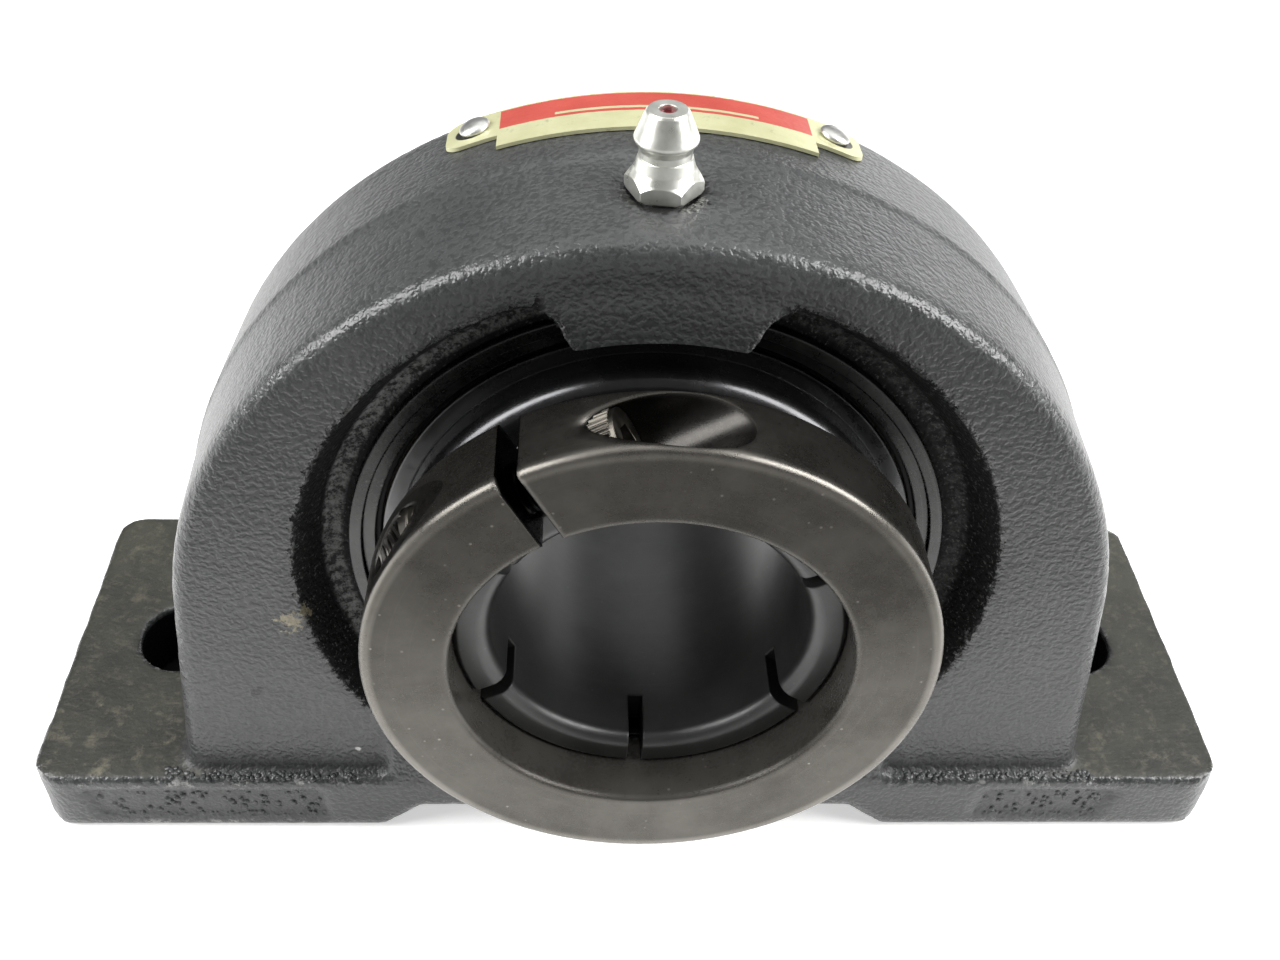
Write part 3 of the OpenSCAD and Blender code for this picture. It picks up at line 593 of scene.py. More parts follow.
def glossBlack():
    finish, tree, shader, place = newFinish("glossBlack", 0.9, Coat_Weight=0.3, Coat_Roughness=0.12)
    stain = noiseAt(tree, place, 90, 4)
    base = blendColour(tree, remap(tree, stain, 0.3, 0.7), (0.046, 0.046, 0.048), (0.074, 0.074, 0.077))
    rough = remap(tree, noiseAt(tree, place, 400, 3), 0.3, 0.7, 0.20, 0.30)
    radius, lead = shaftPolar(tree, place)
    # its flat brim is painted a lighter grey, most on the left and lower part, a painted reflection
    parts = axesOf(tree, place)
    brim = times(tree, remap(tree, radius, 0.0350, 0.0352), remap(tree, parts[0], -0.005, 0.020, 0.9, 0.15))
    brim = times(tree, brim, remap(tree, parts[2], shaftZ + 0.016, shaftZ + 0.031, 1.0, 0.12))
    base = blendColour(tree, brim, base, blendColour(tree, stain, (0.20, 0.20, 0.20), (0.27, 0.27, 0.27)))
    rough = plus(tree, rough, times(tree, brim, 0.16))
    soft = softEdges(tree, 0.0004)
    feed(tree, shader, Base_Color=base, Roughness=rough,
         Normal=bumpOn(tree, noiseAt(tree, place, 800, 3), 0.04, 0.0003, soft))
    return finish


def platedMetal(name, dark, light, metallic, roughLow, roughHigh, split=0.0):
    finish, tree, shader, place = newFinish(name, metallic)
    cloud = noiseAt(tree, place, 320, 4, 0.6)
    fine = noiseAt(tree, place, 3200, 2)
    base = blendColour(tree, remap(tree, cloud, 0.3, 0.7), dark, light)
    if split > 0:
        # painted shade: the screw is painted black inside the split
        base = blendColour(tree, splitShare(tree, place, split), base, (0.002, 0.002, 0.002))
    rough = remap(tree, cloud, 0.3, 0.7, roughLow, roughHigh)
    soft = softEdges(tree, 0.0002)
    feed(tree, shader, Base_Color=base, Roughness=rough, Normal=bumpOn(tree, fine, 0.06, 0.0001, soft))
    return finish


ballSettings = {"dark": (0.52, 0.52, 0.50), "light": (0.68, 0.68, 0.66), "tip": (0.0, -0.0143, 0.1165),
                "reach": 0.0024, "film": (0.16, 0.012, 0.016)}


def groundSteel(s):
    # dull bright steel, with a film of red grease on the check ball
    finish, tree, shader, place = newFinish("groundSteel", 1.0)
    cloud = noiseAt(tree, place, 320, 4, 0.6)
    base = blendColour(tree, remap(tree, cloud, 0.3, 0.7), s["dark"], s["light"])
    gap = distanceTo(tree, place, s["tip"])
    base = blendColour(tree, remap(tree, gap, s["reach"], 0.8 * s["reach"]), base, s["film"])
    soft = softEdges(tree, 0.0002)
    feed(tree, shader, Base_Color=base, Roughness=remap(tree, cloud, 0.3, 0.7, 0.32, 0.48),
         Normal=bumpOn(tree, noiseAt(tree, place, 1500, 3), 0.10, 0.0002, soft))
    return finish


def oiledFelt():
    finish, tree, shader, place = newFinish("oiledFelt", 0.0, Specular_IOR_Level=0.2)
    hair = noiseAt(tree, place, 1800, 5, 0.7, 1.5)
    base = blendColour(tree, remap(tree, hair, 0.3, 0.7), (0.035, 0.032, 0.027), (0.10, 0.09, 0.075))
    feed(tree, shader, Base_Color=base, Roughness=remap(tree, hair, 0.3, 0.7, 0.7, 0.95),
         Normal=bumpOn(tree, hair, 0.5, 0.0004))
    return finish


plateSettings = {
    "fieldFront": 0.0049, "fieldHalf": 0.0208, "stripeFront": 0.0057, "stripeBack": 0.0064, "stripeHalf": 0.0135,
    "fieldBack": 0.0106, "red": (0.36, 0.050, 0.036), "redLight": (0.43, 0.070, 0.052),
    "gold": (0.50, 0.495, 0.28), "goldLight": (0.61, 0.605, 0.38), "stain": (0.16, 0.15, 0.09),
    "gap": (0.018, 0.016, 0.012), "gapReach": 0.02455, "gapDepth": 0.0069, "gapSize": 0.0023,
}


def platePrint(s):
    # pale brass sheet with a plain red field on its rear part and one thin stripe
    finish, tree, shader, place = newFinish("platePrint", 0.0)
    parts = axesOf(tree, place)
    along = sizeOf(tree, parts[0])
    waver = times(tree, minus(tree, noiseAt(tree, place, 600), 0.5), 0.00015)
    depth = plus(tree, parts[1], waver)
    field = times(tree, above(tree, depth, s["fieldFront"]), below(tree, along, s["fieldHalf"]))
    field = times(tree, field, below(tree, depth, s["fieldBack"]))
    stripe = times(tree, above(tree, depth, s["stripeFront"]), below(tree, depth, s["stripeBack"]))
    stripe = times(tree, stripe, below(tree, along, s["stripeHalf"]))
    field = minus(tree, field, stripe)
    cloud = noiseAt(tree, place, 160, 4)
    fine = noiseAt(tree, place, 1400, 3)
    gold = blendColour(tree, remap(tree, cloud, 0.3, 0.7), s["gold"], s["goldLight"])
    gold = blendColour(tree, remap(tree, noiseAt(tree, place, 420, 4, 0.7), 0.60, 0.74, 0, 0.7), gold, s["stain"])
    red = blendColour(tree, remap(tree, cloud, 0.3, 0.7), s["red"], s["redLight"])
    base = blendColour(tree, field, gold, red)
    # painted shade: a dark spot at the outer side of each rivet, the shade in the gap of its hole
    fromRivet = addNode(tree, "ShaderNodeCombineXYZ", {
        0: minus(tree, along, s["gapReach"]), 1: minus(tree, parts[1], s["gapDepth"])})
    away = lengthOf(tree, fromRivet.outputs[0])
    base = blendColour(tree, remap(tree, away, s["gapSize"], s["gapSize"] - 0.00015), base, s["gap"])
    feed(tree, shader, Base_Color=base, Metallic=remap(tree, field, 0, 1, 0.35, 0.0),
         Roughness=remap(tree, fine, 0.3, 0.7, 0.34, 0.48), Normal=bumpOn(tree, fine, 0.10, 0.0002))
    return finish


finishes = {
    "housing_paint": castPaint(paintSettings, markSettings),
    "zinc": platedMetal("zincPlate", (0.70, 0.71, 0.64), (0.92, 0.92, 0.87), 0.88, 0.26, 0.38),
    "bright_steel": groundSteel(ballSettings),
    "ring_steel": oxideSteel("ringSteel", ringSteel),
    "dark_steel": oxideSteel("boreSteel", boreSteel),
    "cage": platedMetal("cageBrass", (0.42, 0.33, 0.16), (0.58, 0.47, 0.25), 1.0, 0.30, 0.45),
    "felt": oiledFelt(),
    "flinger_black": glossBlack(),
    "black_oxide": oxideSteel("collarOxide", collarSteel),
    "screw_steel": platedMetal("screwSteel", (0.050, 0.047, 0.040), (0.12, 0.11, 0.095), 1.0, 0.28, 0.42,
                               split=0.0018),
    "plate_gold": platePrint(plateSettings),
}
slotOf = {row["node"]: row["material_slot"] for row in frame["record"]["subparts"]}
for name, obj in nodes.items():
    obj.data.materials.clear()
    obj.data.materials.append(finishes[slotOf[name]])
print("finishes on", len(slotOf), "nodes")


# cast skin of the housing: soft edges, lumps and grain over the solid

castingSettings = {
    "voxel": 0.00085, "smoothRounds": 6, "lumpHeight": 0.00012, "lumpScale": 190.0,
    "pebbleHeight": 0.00006, "pebbleScale": 500.0, "rimHeight": 0.00055, "stepHeight": 0.00030,
    "endHeight": 0.0010, "seed": 4.0, "rimRadius": 0.0486, "openingRadius": 0.0409, "seatRadius": 0.0427,
    "tabHalf": 0.0105,
}


def newGroup(name, sockets):
    # empty Geometry Nodes tree, its named inputs and its end
    tree = bpy.data.node_groups.new(name, "GeometryNodeTree")
    face = tree.interface
    face.new_socket("Geometry", in_out="INPUT", socket_type="NodeSocketGeometry")
    for label, kind in sockets.items():
        face.new_socket(label, in_out="INPUT", socket_type="NodeSocket" + kind)
    face.new_socket("Finish", in_out="INPUT", socket_type="NodeSocketMaterial")
    face.new_socket("Geometry", in_out="OUTPUT", socket_type="NodeSocketGeometry")
    return tree, tree.nodes.new("NodeGroupInput").outputs, tree.nodes.new("NodeGroupOutput")


def endGroup(tree, start, end, geometry):
    real = addNode(tree, "GeometryNodeRealizeInstances", {0: geometry})
    coat = addNode(tree, "GeometryNodeSetMaterial", {0: real.outputs[0], "Material": start["Finish"]})
    tree.links.new(coat.outputs[0], end.inputs[0])


def skinTree(s):
    # lumps and pebbles all over, a ragged rim round the recess, a parting step along the arch, uneven foot ends
    names = ("Lump Height", "Lump Scale", "Pebble Height", "Pebble Scale", "Rim Height", "Step Height",
             "End Height", "Seed")
    tree, start, end = newGroup("castSkin", dict.fromkeys(names, "Float"))
    place = tree.nodes.new("GeometryNodeInputPosition").outputs[0]
    out = tree.nodes.new("GeometryNodeInputNormal").outputs[0]
    parts = axesOf(tree, place)
    facing = axesOf(tree, out)

    def lumps(scale, detail, height, level):
        noise = addNode(tree, "ShaderNodeTexNoise", {"Vector": place, "W": start["Seed"], "Scale": scale,
                                                     "Detail": detail}, noise_dimensions="4D").outputs[0]
        return times(tree, minus(tree, noise, level), height)

    radius, lead = shaftPolar(tree, place)
    offRim = sizeOf(tree, minus(tree, radius, s["rimRadius"]))
    rim = times(tree, remap(tree, offRim, 0.0006, 0.0024, 1, 0), remap(tree, lead, -0.0255, -0.0268))
    behind = remap(tree, lead, -0.0074, -0.0066, 1, 0)
    ahead = remap(tree, lead, -0.0230, -0.0074, 0.1, 1)
    roundSide = remap(tree, sizeOf(tree, facing[1]), 0.3, 0.6, 1, 0)
    high = remap(tree, parts[2], 0.030, 0.045)
    step = times(tree, times(tree, behind, ahead), times(tree, roundSide, high))
    step = times(tree, step, remap(tree, radius, 0.050, 0.052))
    rise = plus(tree, lumps(start["Lump Scale"], 2.0, start["Lump Height"], 0.8),
                lumps(start["Pebble Scale"], 1.0, start["Pebble Height"], 0.8))
    rise = plus(tree, rise, times(tree, rim, lumps(430.0, 2.0, start["Rim Height"], 0.75)))
    rise = minus(tree, rise, times(tree, step, start["Step Height"]))
    # uneven ends of the feet
    ends = times(tree, remap(tree, sizeOf(tree, facing[0]), 0.3, 0.7),
                remap(tree, sizeOf(tree, parts[0]), 0.085, 0.090))
    rise = plus(tree, rise, times(tree, ends, lumps(150.0, 2.0, start["End Height"], 0.72)))
    shift = addNode(tree, "ShaderNodeVectorMath", {0: out, "Scale": rise}, operation="SCALE").outputs[0]
    moved = addNode(tree, "GeometryNodeSetPosition", {"Geometry": start["Geometry"], "Offset": shift})
    endGroup(tree, start, end, moved.outputs[0])
    return tree


def setInputs(modifier, values):
    # sets a Geometry Nodes modifier's inputs by their sockets' identifiers
    for item in modifier.node_group.interface.items_tree:
        if item.item_type == "SOCKET" and item.in_out == "INPUT" and item.name in values:
            modifier[item.identifier] = values[item.name]


def edgeShares(mesh):
    # how far each point stands out of (convex) or lies in (concave) its surroundings
    co = points(mesh)
    pairs = np.empty(len(mesh.edges) * 2, np.int32)
    mesh.edges.foreach_get("vertices", pairs)
    pairs = pairs.reshape(-1, 2)
    normals = np.empty(len(co) * 3, np.float32)
    mesh.vertex_normals.foreach_get("vector", normals)
    normals = normals.reshape(-1, 3)
    count = np.bincount(pairs.ravel(), minlength=len(co)).clip(1)[:, None]

    def averaged(values):
        total = np.zeros_like(values)
        np.add.at(total, pairs[:, 0], values[pairs[:, 1]])
        np.add.at(total, pairs[:, 1], values[pairs[:, 0]])
        return total / count

    bend = -np.einsum("ij,ij->i", averaged(co) - co, normals)[:, None]
    for _ in range(3):
        bend = 0.4 * bend + 0.6 * averaged(bend)
    return bend[:, 0]


def padShares(mesh):
    # points on the rubbed tops of the two feet
    co = points(mesh)
    normals = np.empty(len(co) * 3, np.float32)
    mesh.vertex_normals.foreach_get("vector", normals)
    level = (normals.reshape(-1, 3)[:, 2] > 0.9) & (co[:, 2] > 0.010) & (co[:, 2] < 0.0135)
    return level * np.clip((np.abs(co[:, 0]) - 0.0640) / 0.0050, 0, 1)


def addAttribute(mesh, name, values):
    layer = mesh.attributes.new(name, "FLOAT", "POINT")
    layer.data.foreach_set("value", np.clip(values, 0, 1).astype(np.float32))


def keptCrisp(co, s):
    # how much each point may relax: little at the rim of the recess, the sunk panels and the base edges
    radius = np.hypot(co[:, 0], co[:, 2] - shaftZ)
    rim = (np.abs(radius - s["rimRadius"]) < 0.0022) & (co[:, 1] < -0.0245)
    panel = (co[:, 1] < -0.0291) & (co[:, 2] < 0.0105) & (co[:, 2] > 0.0015)
    edge = (co[:, 2] < 0.0135) & ((np.abs(co[:, 0]) > 0.0885) | (co[:, 1] < -0.0282) | (co[:, 1] > 0.0282))
    return np.where(rim | panel, 0.25, np.where(edge, 0.35, 1.0))


def buildCasting(s):
    bm = bmesh.new()
    bm.from_mesh(nodes["housing"].data)
    bmesh.ops.remove_doubles(bm, verts=bm.verts, dist=2e-6)
    # spare metal under the tab, cut off again with the seat so that its edge is crisp
    spare = bmesh.ops.create_cube(bm, size=1.0)["verts"]
    for v in spare:
        v.co = Vector((v.co.x * 2 * s["tabHalf"], v.co.y * 0.0069 - 0.02395, v.co.z * 0.004 + shaftZ + 0.0400))
    casting = newObject("housing_casting", meshFromBm("housing_casting", bm))
    remesh = casting.modifiers.new("remesh", "REMESH")
    remesh.mode, remesh.voxel_size, remesh.adaptivity = "VOXEL", s["voxel"], 0.0
    mesh = bakedMesh(casting, "housing_casting")
    co = points(mesh)
    radius = np.hypot(co[:, 0], co[:, 2] - shaftZ)
    tab = (np.abs(co[:, 0]) < 0.0135) & (co[:, 2] > shaftZ)
    lip = (radius > 0.0395) & (radius < 0.0432) & ~tab & (co[:, 1] < -0.0205) & (co[:, 1] > -0.026)
    co[lip, 1] = -0.0205
    setPoints(mesh, co)
    group = casting.vertex_groups.new(name="relaxed")
    keep = keptCrisp(co, s)
    for share in np.unique(keep):
        group.add(np.flatnonzero(keep == share).tolist(), float(share), "REPLACE")
    relax = casting.modifiers.new("relax", "SMOOTH")
    relax.factor, relax.iterations, relax.vertex_group = 0.5, s["smoothRounds"], "relaxed"
    mesh = bakedMesh(casting, "housing_casting")
    bend = edgeShares(mesh)
    addAttribute(mesh, "edgeWear", bend / 0.00012)
    addAttribute(mesh, "hollow", -bend / 0.00012)
    addAttribute(mesh, "pad", padShares(mesh))
    skin = casting.modifiers.new("skin", "NODES")
    skin.node_group = skinTree(s)
    setInputs(skin, {"Lump Height": s["lumpHeight"], "Lump Scale": s["lumpScale"], "Pebble Height": s["pebbleHeight"],
                     "Pebble Scale": s["pebbleScale"], "Rim Height": s["rimHeight"], "Step Height": s["stepHeight"],
                     "End Height": s["endHeight"],
                     "Seed": s["seed"], "Finish": finishes["housing_paint"]})
    mesh = bakedMesh(casting, "housing_casting")
    seat = seatCutter(s)
    cut = casting.modifiers.new("seat", "BOOLEAN")
    cut.operation, cut.solver, cut.object = "DIFFERENCE", "EXACT", seat
    mesh = bakedMesh(casting, "housing_casting")
    bpy.data.objects.remove(seat)
    smoothShade(mesh, 50)
    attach(casting, "housing")
    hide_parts("housing")
    print("casting:", len(mesh.polygons), "faces")


def seatCutter(s):
    # bore of the opening with the spherical seat in its middle, as one turned solid
    opening, seat = s["openingRadius"] * 1000, s["seatRadius"] * 1000
    reach = math.sqrt(seat ** 2 - opening ** 2)
    steps = [seat * math.cos(a) for a in np.linspace(math.asin(reach / seat), -math.asin(reach / seat), 15)]
    leads = [seat * math.sin(a) for a in np.linspace(math.asin(reach / seat), -math.asin(reach / seat), 15)]
    profile = [(0.001, 30), (opening, 30)] + list(zip(steps, leads)) + [(opening, -30), (0.001, -30)]
    mesh = spunProfile("seatCutter", profile, 160)
    return newObject("seatCutter", mesh)


buildCasting(castingSettings)


# machined lip round the bearing

lipSettings = {"seat": 42.7, "outer": 41.95, "top": 14.9, "foot": 12.6, "chamfer": 0.15, "steps": 240}


def buildLip(s):
    c = s["chamfer"]
    leads = np.linspace(s["foot"], s["top"] - c, 6)
    inner = [(math.sqrt(s["seat"] ** 2 - lead ** 2), lead) for lead in leads]
    profile = inner + [(inner[-1][0] + c, s["top"]), (s["outer"] - c, s["top"]), (s["outer"], s["top"] - c),
                       (s["outer"], s["foot"])]
    lip = newObject("seat_lip", spunProfile("seat_lip", profile, s["steps"]))
    smoothShade(lip.data, 30)
    lip.data.materials.append(finishes["ring_steel"])
    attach(lip, "housing")


buildLip(lipSettings)
print("lip turned")

# hat-shaped flinger: brim, rounded crown and the sleeve that meets the collar

hatSettings = {"brim": 37.25, "foot": 12.8, "sheet": 1.0, "crown": 34.9, "edge": 3.2, "top": 19.9, "sleeve": 29.9,
               "end": 25.2, "hole": 26.6, "steps": 200}


def buildHat(s):
    t, e = s["sheet"], s["edge"]
    turns = [math.radians(a) for a in range(0, 91, 9)]
    middle, level = s["crown"] - e, s["top"] - e
    outer = [(middle + e * math.cos(a), level + e * math.sin(a)) for a in turns]
    inner = [(middle + (e - t) * math.cos(a), level + (e - t) * math.sin(a)) for a in reversed(turns)]
    profile = ([(s["brim"], s["foot"]), (s["brim"], s["foot"] + t), (s["crown"], s["foot"] + t)] + outer
               + [(s["sleeve"], s["top"]), (s["sleeve"], s["end"]), (s["hole"], s["end"]), (s["hole"], s["end"] - t),
                  (s["sleeve"] - t, s["end"] - t), (s["sleeve"] - t, s["top"] - t)]
               + inner + [(s["crown"] - t, s["foot"])])
    hat = newObject("flinger_hat", spunProfile("flinger_hat", profile, s["steps"]))
    smoothShade(hat.data, 30)
    hat.data.materials.append(finishes["flinger_black"])
    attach(hat, "inner")
    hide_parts("front_flinger")


buildHat(hatSettings)
print("flinger pressed")


# rough nodules on the front ledges and in the two sunk panels

noduleSettings = {
    "ledgeCrowd": 2.0e6, "panelCrowd": 3.6e5, "size": 0.00038, "spread": 0.00026, "flat": 0.7, "seed": 7,
    "ledges": ((-0.0730, -0.0425), (0.0425, 0.0730)), "ledgeDepth": (-0.0297, -0.0277), "ledgeHeight": 0.01175,
    "panels": ((-0.0840, -0.0486), (0.0545, 0.0755)), "panelDepth": -0.0296, "panelRise": (0.0023, 0.0095),
    "footRise": (0.0021, 0.0033),
}


def noduleTree():
    sockets = {**dict.fromkeys(("Size", "Spread", "Flatness"), "Float"), "Seed": "Int"}
    tree, start, end = newGroup("castNodules", sockets)
    crowd = addNode(tree, "GeometryNodeInputNamedAttribute", {"Name": "crowd"}, data_type="FLOAT").outputs[0]
    spots = addNode(tree, "GeometryNodeDistributePointsOnFaces", {"Mesh": start["Geometry"], "Density": crowd,
                                                                  "Seed": start["Seed"]})
    lump = addNode(tree, "GeometryNodeMeshIcoSphere", {"Radius": 1.0, "Subdivisions": 2})
    low = start["Size"]
    high = plus(tree, low, start["Spread"])
    least = addNode(tree, "ShaderNodeCombineXYZ", {0: low, 1: low, 2: times(tree, low, start["Flatness"])})
    largest = addNode(tree, "ShaderNodeCombineXYZ", {0: high, 1: high, 2: times(tree, high, start["Flatness"])})
    size = addNode(tree, "FunctionNodeRandomValue", {"Min": least.outputs[0], "Max": largest.outputs[0],
                                                     "Seed": start["Seed"]}, data_type="FLOAT_VECTOR")
    many = addNode(tree, "GeometryNodeInstanceOnPoints", {
        "Points": spots.outputs["Points"], "Instance": lump.outputs[0], "Rotation": spots.outputs["Rotation"],
        "Scale": size.outputs[0]})
    endGroup(tree, start, end, many.outputs[0])
    return tree


def buildNodules(s):
    bm = bmesh.new()
    crowd = bm.faces.layers.float.new("crowd")
    for x0, x1 in s["ledges"]:
        y0, y1 = s["ledgeDepth"]
        face = addQuad(bm, [(x, y, s["ledgeHeight"]) for x, y in ((x0, y0), (x1, y0), (x1, y1), (x0, y1))])
        face[crowd] = s["ledgeCrowd"]
    for x0, x1 in s["panels"]:
        for (z0, z1), share in ((s["panelRise"], s["panelCrowd"]), (s["footRise"], 2.2 * s["panelCrowd"])):
            face = addQuad(bm, [(x, s["panelDepth"], z) for x, z in ((x0, z0), (x1, z0), (x1, z1), (x0, z1))])
            face[crowd] = share
    nodules = newObject("cast_nodules", meshFromBm("cast_nodules", bm))
    grow = nodules.modifiers.new("grow", "NODES")
    grow.node_group = noduleTree()
    setInputs(grow, {"Size": s["size"], "Spread": s["spread"], "Flatness": s["flat"], "Seed": s["seed"],
                     "Finish": finishes["housing_paint"]})
    mesh = bakedMesh(nodules, "cast_nodules")
    smoothShade(mesh)
    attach(nodules, "housing")
    print("nodules:", len(mesh.polygons), "faces")


buildNodules(noduleSettings)


# domed drive rivets of the plate

rivetSettings = {"reach": 23.8, "archRadius": 67.2, "surface": 67.422, "depth": 7.0, "stand": 0.95, "headRadius": 2.2,
                 "domeHeight": 0.95, "dent": 0.00012, "seed": 3.0}


def rivetTree():
    tree, start, end = newGroup("driveRivets", dict.fromkeys(("Head Radius", "Dome Height", "Dent", "Seed"), "Float"))
    ball = addNode(tree, "GeometryNodeMeshUVSphere", {"Segments": 48, "Rings": 24, "Radius": 1.0})
    size = addNode(tree, "ShaderNodeCombineXYZ", {0: start["Head Radius"], 1: start["Head Radius"],
                                                  2: start["Dome Height"]})
    dome = addNode(tree, "GeometryNodeTransform", {"Geometry": ball.outputs[0], "Scale": size.outputs[0]})
    outward = addNode(tree, "GeometryNodeInputNamedAttribute", {"Name": "outward"}, data_type="FLOAT_VECTOR")
    turn = addNode(tree, "FunctionNodeAlignRotationToVector", {"Vector": outward.outputs[0]}, axis="Z")
    heads = addNode(tree, "GeometryNodeInstanceOnPoints", {
        "Points": start["Geometry"], "Instance": dome.outputs[0], "Rotation": turn.outputs[0]})
    real = addNode(tree, "GeometryNodeRealizeInstances", {0: heads.outputs[0]})
    place = tree.nodes.new("GeometryNodeInputPosition").outputs[0]
    out = tree.nodes.new("GeometryNodeInputNormal").outputs[0]
    noise = addNode(tree, "ShaderNodeTexNoise", {
        "Vector": place, "W": start["Seed"], "Scale": 900.0, "Detail": 1.0}, noise_dimensions="4D").outputs[0]
    sink = times(tree, minus(tree, noise, 0.8), start["Dent"])
    shift = addNode(tree, "ShaderNodeVectorMath", {0: out, "Scale": sink}, operation="SCALE").outputs[0]
    moved = addNode(tree, "GeometryNodeSetPosition", {"Geometry": real.outputs[0], "Offset": shift})
    endGroup(tree, start, end, moved.outputs[0])
    return tree


def buildRivets(s):
    lean = math.asin(s["reach"] / s["archRadius"])
    ways = [Vector((side * math.sin(lean), 0, math.cos(lean))) for side in (-1, 1)]
    mesh = bpy.data.meshes.new("plate_rivet_heads")
    middle, reach = Vector((0, s["depth"] / 1000, archZ)), (s["surface"] + s["stand"]) / 1000
    mesh.from_pydata([middle + reach * way for way in ways], [], [])
    layer = mesh.attributes.new("outward", "FLOAT_VECTOR", "POINT")
    layer.data.foreach_set("vector", [c for way in ways for c in way])
    rivets = newObject("plate_rivet_heads", mesh)
    stamp = rivets.modifiers.new("stamp", "NODES")
    stamp.node_group = rivetTree()
    setInputs(stamp, {"Head Radius": s["headRadius"] / 1000, "Dome Height": s["domeHeight"] / 1000, "Dent": s["dent"],
                      "Seed": s["seed"], "Finish": finishes["bright_steel"]})
    mesh = bakedMesh(rivets, "plate_rivet_heads")
    smoothShade(mesh)
    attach(rivets, "housing")
    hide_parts("plate_rivets")
    print("rivets:", len(mesh.polygons), "faces")


buildRivets(rivetSettings)


# spring under the check ball

def buildSpring():
    spring = newObject("check_coil", mergedCopy("grease_check_spring", "check_coil"))
    spring.data.materials.append(finishes["bright_steel"])
    smoothShade(spring.data, 40)
    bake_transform(spring)
    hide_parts("grease_check_spring")


buildSpring()
print("spring wound")


# clamp screw with its knurled head and thread, and the tapped hole it runs into

screwSettings = {"seat": 6.8, "headRadius": 4.72, "headHeight": 6.35, "knurls": 40, "knurlSize": 0.42,
                 "shankRadius": 3.12, "threadSize": 0.26, "threadFrom": -17.0, "threadTo": 4.0, "threadTurns": 21.0}
tappingSettings = {"radius": 3.24, "size": 0.42, "from": -26.0, "to": -6.0, "turns": 18.0, "collarRadius": 37.8}


def screwPlace():
    # frame of the screw: X away from the shaft, Z from the split towards the head
    a = splitAngle
    away = Vector((math.cos(a), 0, math.sin(a)))
    frame = Matrix((away, Vector((0, -1, 0)), Vector((math.sin(a), 0, -math.cos(a))))).transposed().to_4x4()
    middle = Vector((0, shaftY - screwLead, shaftZ)) + screwReach * away
    return Matrix.Translation(middle) @ frame


def spiralRidge(tree, radius, size, low, high, turns):
    coil = addNode(tree, "GeometryNodeCurveSpiral", {"Resolution": 36, "Rotations": turns, "Start Radius": radius,
                                                     "End Radius": radius, "Height": minus(tree, high, low)})
    edge = addNode(tree, "GeometryNodeCurvePrimitiveCircle", {"Resolution": 4, "Radius": size})
    ridge = addNode(tree, "GeometryNodeCurveToMesh", {"Curve": coil.outputs[0], "Profile Curve": edge.outputs[0],
                                                      "Fill Caps": True})
    lift = addNode(tree, "ShaderNodeCombineXYZ", {2: low})
    return addNode(tree, "GeometryNodeTransform", {
        "Geometry": ridge.outputs[0], "Translation": lift.outputs[0]}).outputs[0]


def screwTree():
    names = ("Head Radius", "Head Middle", "Head Height", "Knurl Size", "Shank Radius", "Thread Size", "Thread From",
             "Thread To", "Thread Turns")
    tree, start, end = newGroup("knurledScrew", {**dict.fromkeys(names, "Float"), "Knurl Count": "Int"})
    ring = addNode(tree, "GeometryNodeMeshCircle", {"Vertices": start["Knurl Count"],
                                                    "Radius": start["Head Radius"]})
    lift = addNode(tree, "ShaderNodeCombineXYZ", {2: start["Head Middle"]})
    raised = addNode(tree, "GeometryNodeTransform", {"Geometry": ring.outputs[0], "Translation": lift.outputs[0]})
    size = addNode(tree, "ShaderNodeCombineXYZ", {0: start["Knurl Size"], 1: start["Knurl Size"],
                                                  2: start["Head Height"]})
    bar = addNode(tree, "GeometryNodeMeshCube", {"Size": size.outputs[0]})
    ridge = addNode(tree, "GeometryNodeTransform", {"Geometry": bar.outputs[0], "Rotation": (0, 0, math.pi / 4)})
    place = tree.nodes.new("GeometryNodeInputPosition").outputs[0]
    flat = addNode(tree, "ShaderNodeVectorMath", {0: place, 1: (1, 1, 0)}, operation="MULTIPLY").outputs[0]
    turn = addNode(tree, "FunctionNodeAlignRotationToVector", {"Vector": flat}, axis="X")
    knurls = addNode(tree, "GeometryNodeInstanceOnPoints", {"Points": raised.outputs[0], "Instance": ridge.outputs[0],
                                                            "Rotation": turn.outputs[0]})
    thread = spiralRidge(tree, *(start[name] for name in names[4:]))
    whole = tree.nodes.new("GeometryNodeJoinGeometry")
    for part in (start["Geometry"], knurls.outputs[0], thread):
        tree.links.new(part, whole.inputs[0])
    endGroup(tree, start, end, whole.outputs[0])
    return tree


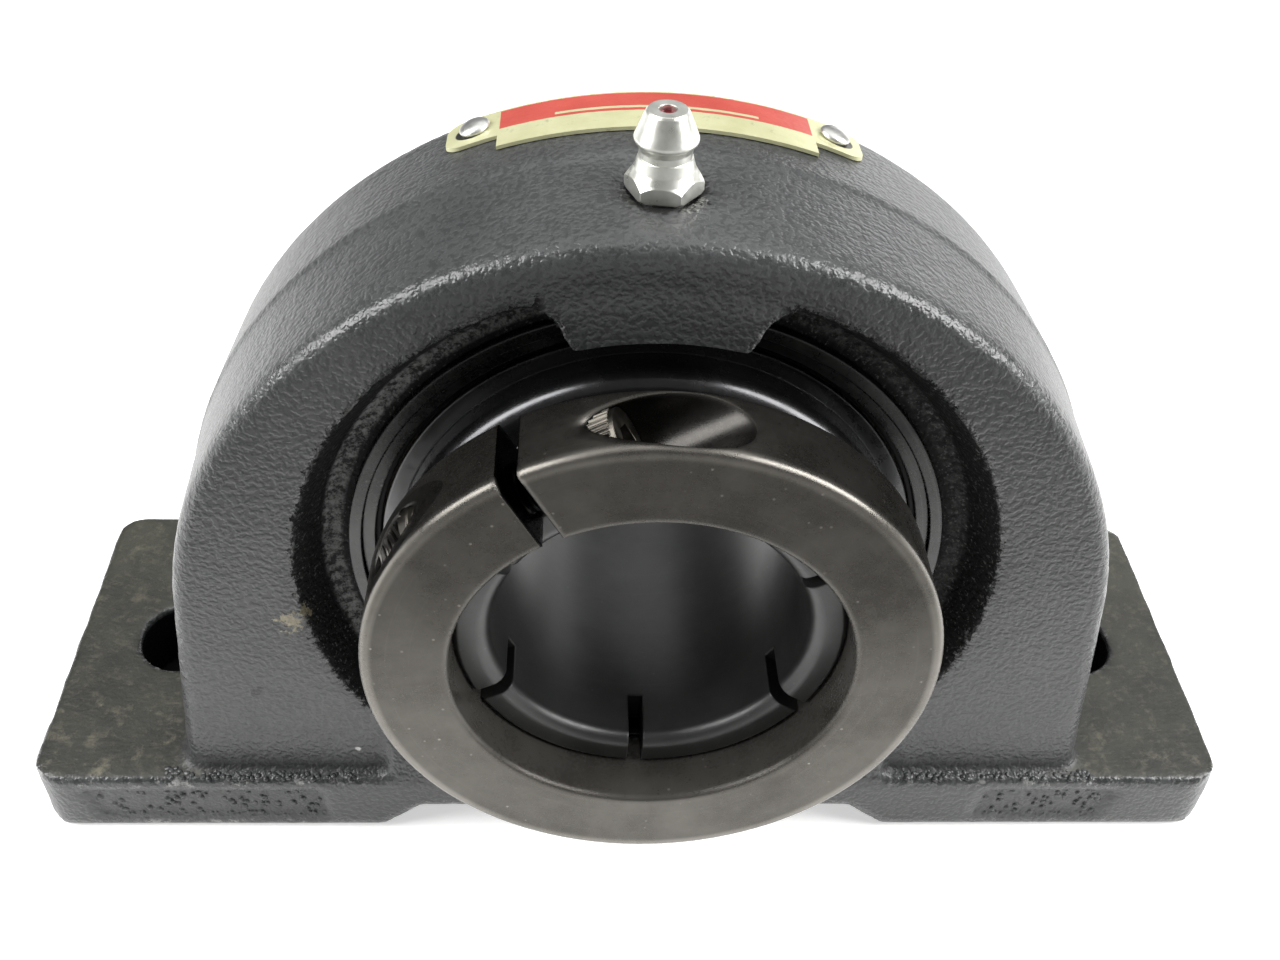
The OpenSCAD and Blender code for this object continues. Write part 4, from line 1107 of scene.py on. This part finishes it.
def buildScrew(s):
    place = screwPlace()
    mesh = mergedCopy("collar_screw", "knurled_screw")
    mesh.transform(place.inverted())
    screw = newObject("knurled_screw", mesh)
    cut = screw.modifiers.new("cut", "NODES")
    cut.node_group = screwTree()
    mm = 0.001
    setInputs(cut, {"Head Radius": s["headRadius"] * mm, "Head Middle": (s["seat"] + 0.5 * s["headHeight"]) * mm,
                    "Head Height": 0.8 * s["headHeight"] * mm, "Knurl Size": s["knurlSize"] * mm,
                    "Knurl Count": s["knurls"], "Shank Radius": s["shankRadius"] * mm,
                    "Thread Size": s["threadSize"] * mm, "Thread From": s["threadFrom"] * mm,
                    "Thread To": s["threadTo"] * mm, "Thread Turns": s["threadTurns"],
                    "Finish": finishes["screw_steel"]})
    mesh = bakedMesh(screw, "knurled_screw")
    mesh.transform(place)
    smoothShade(mesh, 30)
    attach(screw, "inner")
    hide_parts("collar_screw")
    print("screw:", len(mesh.polygons), "faces")


def tappingTree():
    names = ("Radius", "Size", "From", "To", "Turns")
    tree, start, end = newGroup("tappedHole", dict.fromkeys(names, "Float"))
    ridge = spiralRidge(tree, *(start[name] for name in names))
    whole = tree.nodes.new("GeometryNodeJoinGeometry")
    for part in (start["Geometry"], ridge):
        tree.links.new(part, whole.inputs[0])
    endGroup(tree, start, end, whole.outputs[0])
    return tree


def buildTapping(s):
    tapping = newObject("collar_tapping", bpy.data.meshes.new("collar_tapping"))
    coil = tapping.modifiers.new("coil", "NODES")
    coil.node_group = tappingTree()
    mm = 0.001
    setInputs(coil, {"Radius": s["radius"] * mm, "Size": s["size"] * mm, "From": s["from"] * mm, "To": s["to"] * mm,
                     "Turns": s["turns"], "Finish": finishes["black_oxide"]})
    mesh = bakedMesh(tapping, "collar_tapping")
    mesh.transform(screwPlace())
    outline = [(0.001, 20), (s["collarRadius"], 20), (s["collarRadius"], 40), (0.001, 40)]
    envelope = newObject("envelope", spunProfile("envelope", outline, 180))
    trim = tapping.modifiers.new("trim", "BOOLEAN")
    trim.operation, trim.solver, trim.object = "INTERSECT", "EXACT", envelope
    mesh = bakedMesh(tapping, "collar_tapping")
    bpy.data.objects.remove(envelope)
    smoothShade(mesh, 30)
    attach(tapping, "inner")
    print("tapping:", len(mesh.polygons), "faces")


buildScrew(screwSettings)
buildTapping(tappingSettings)
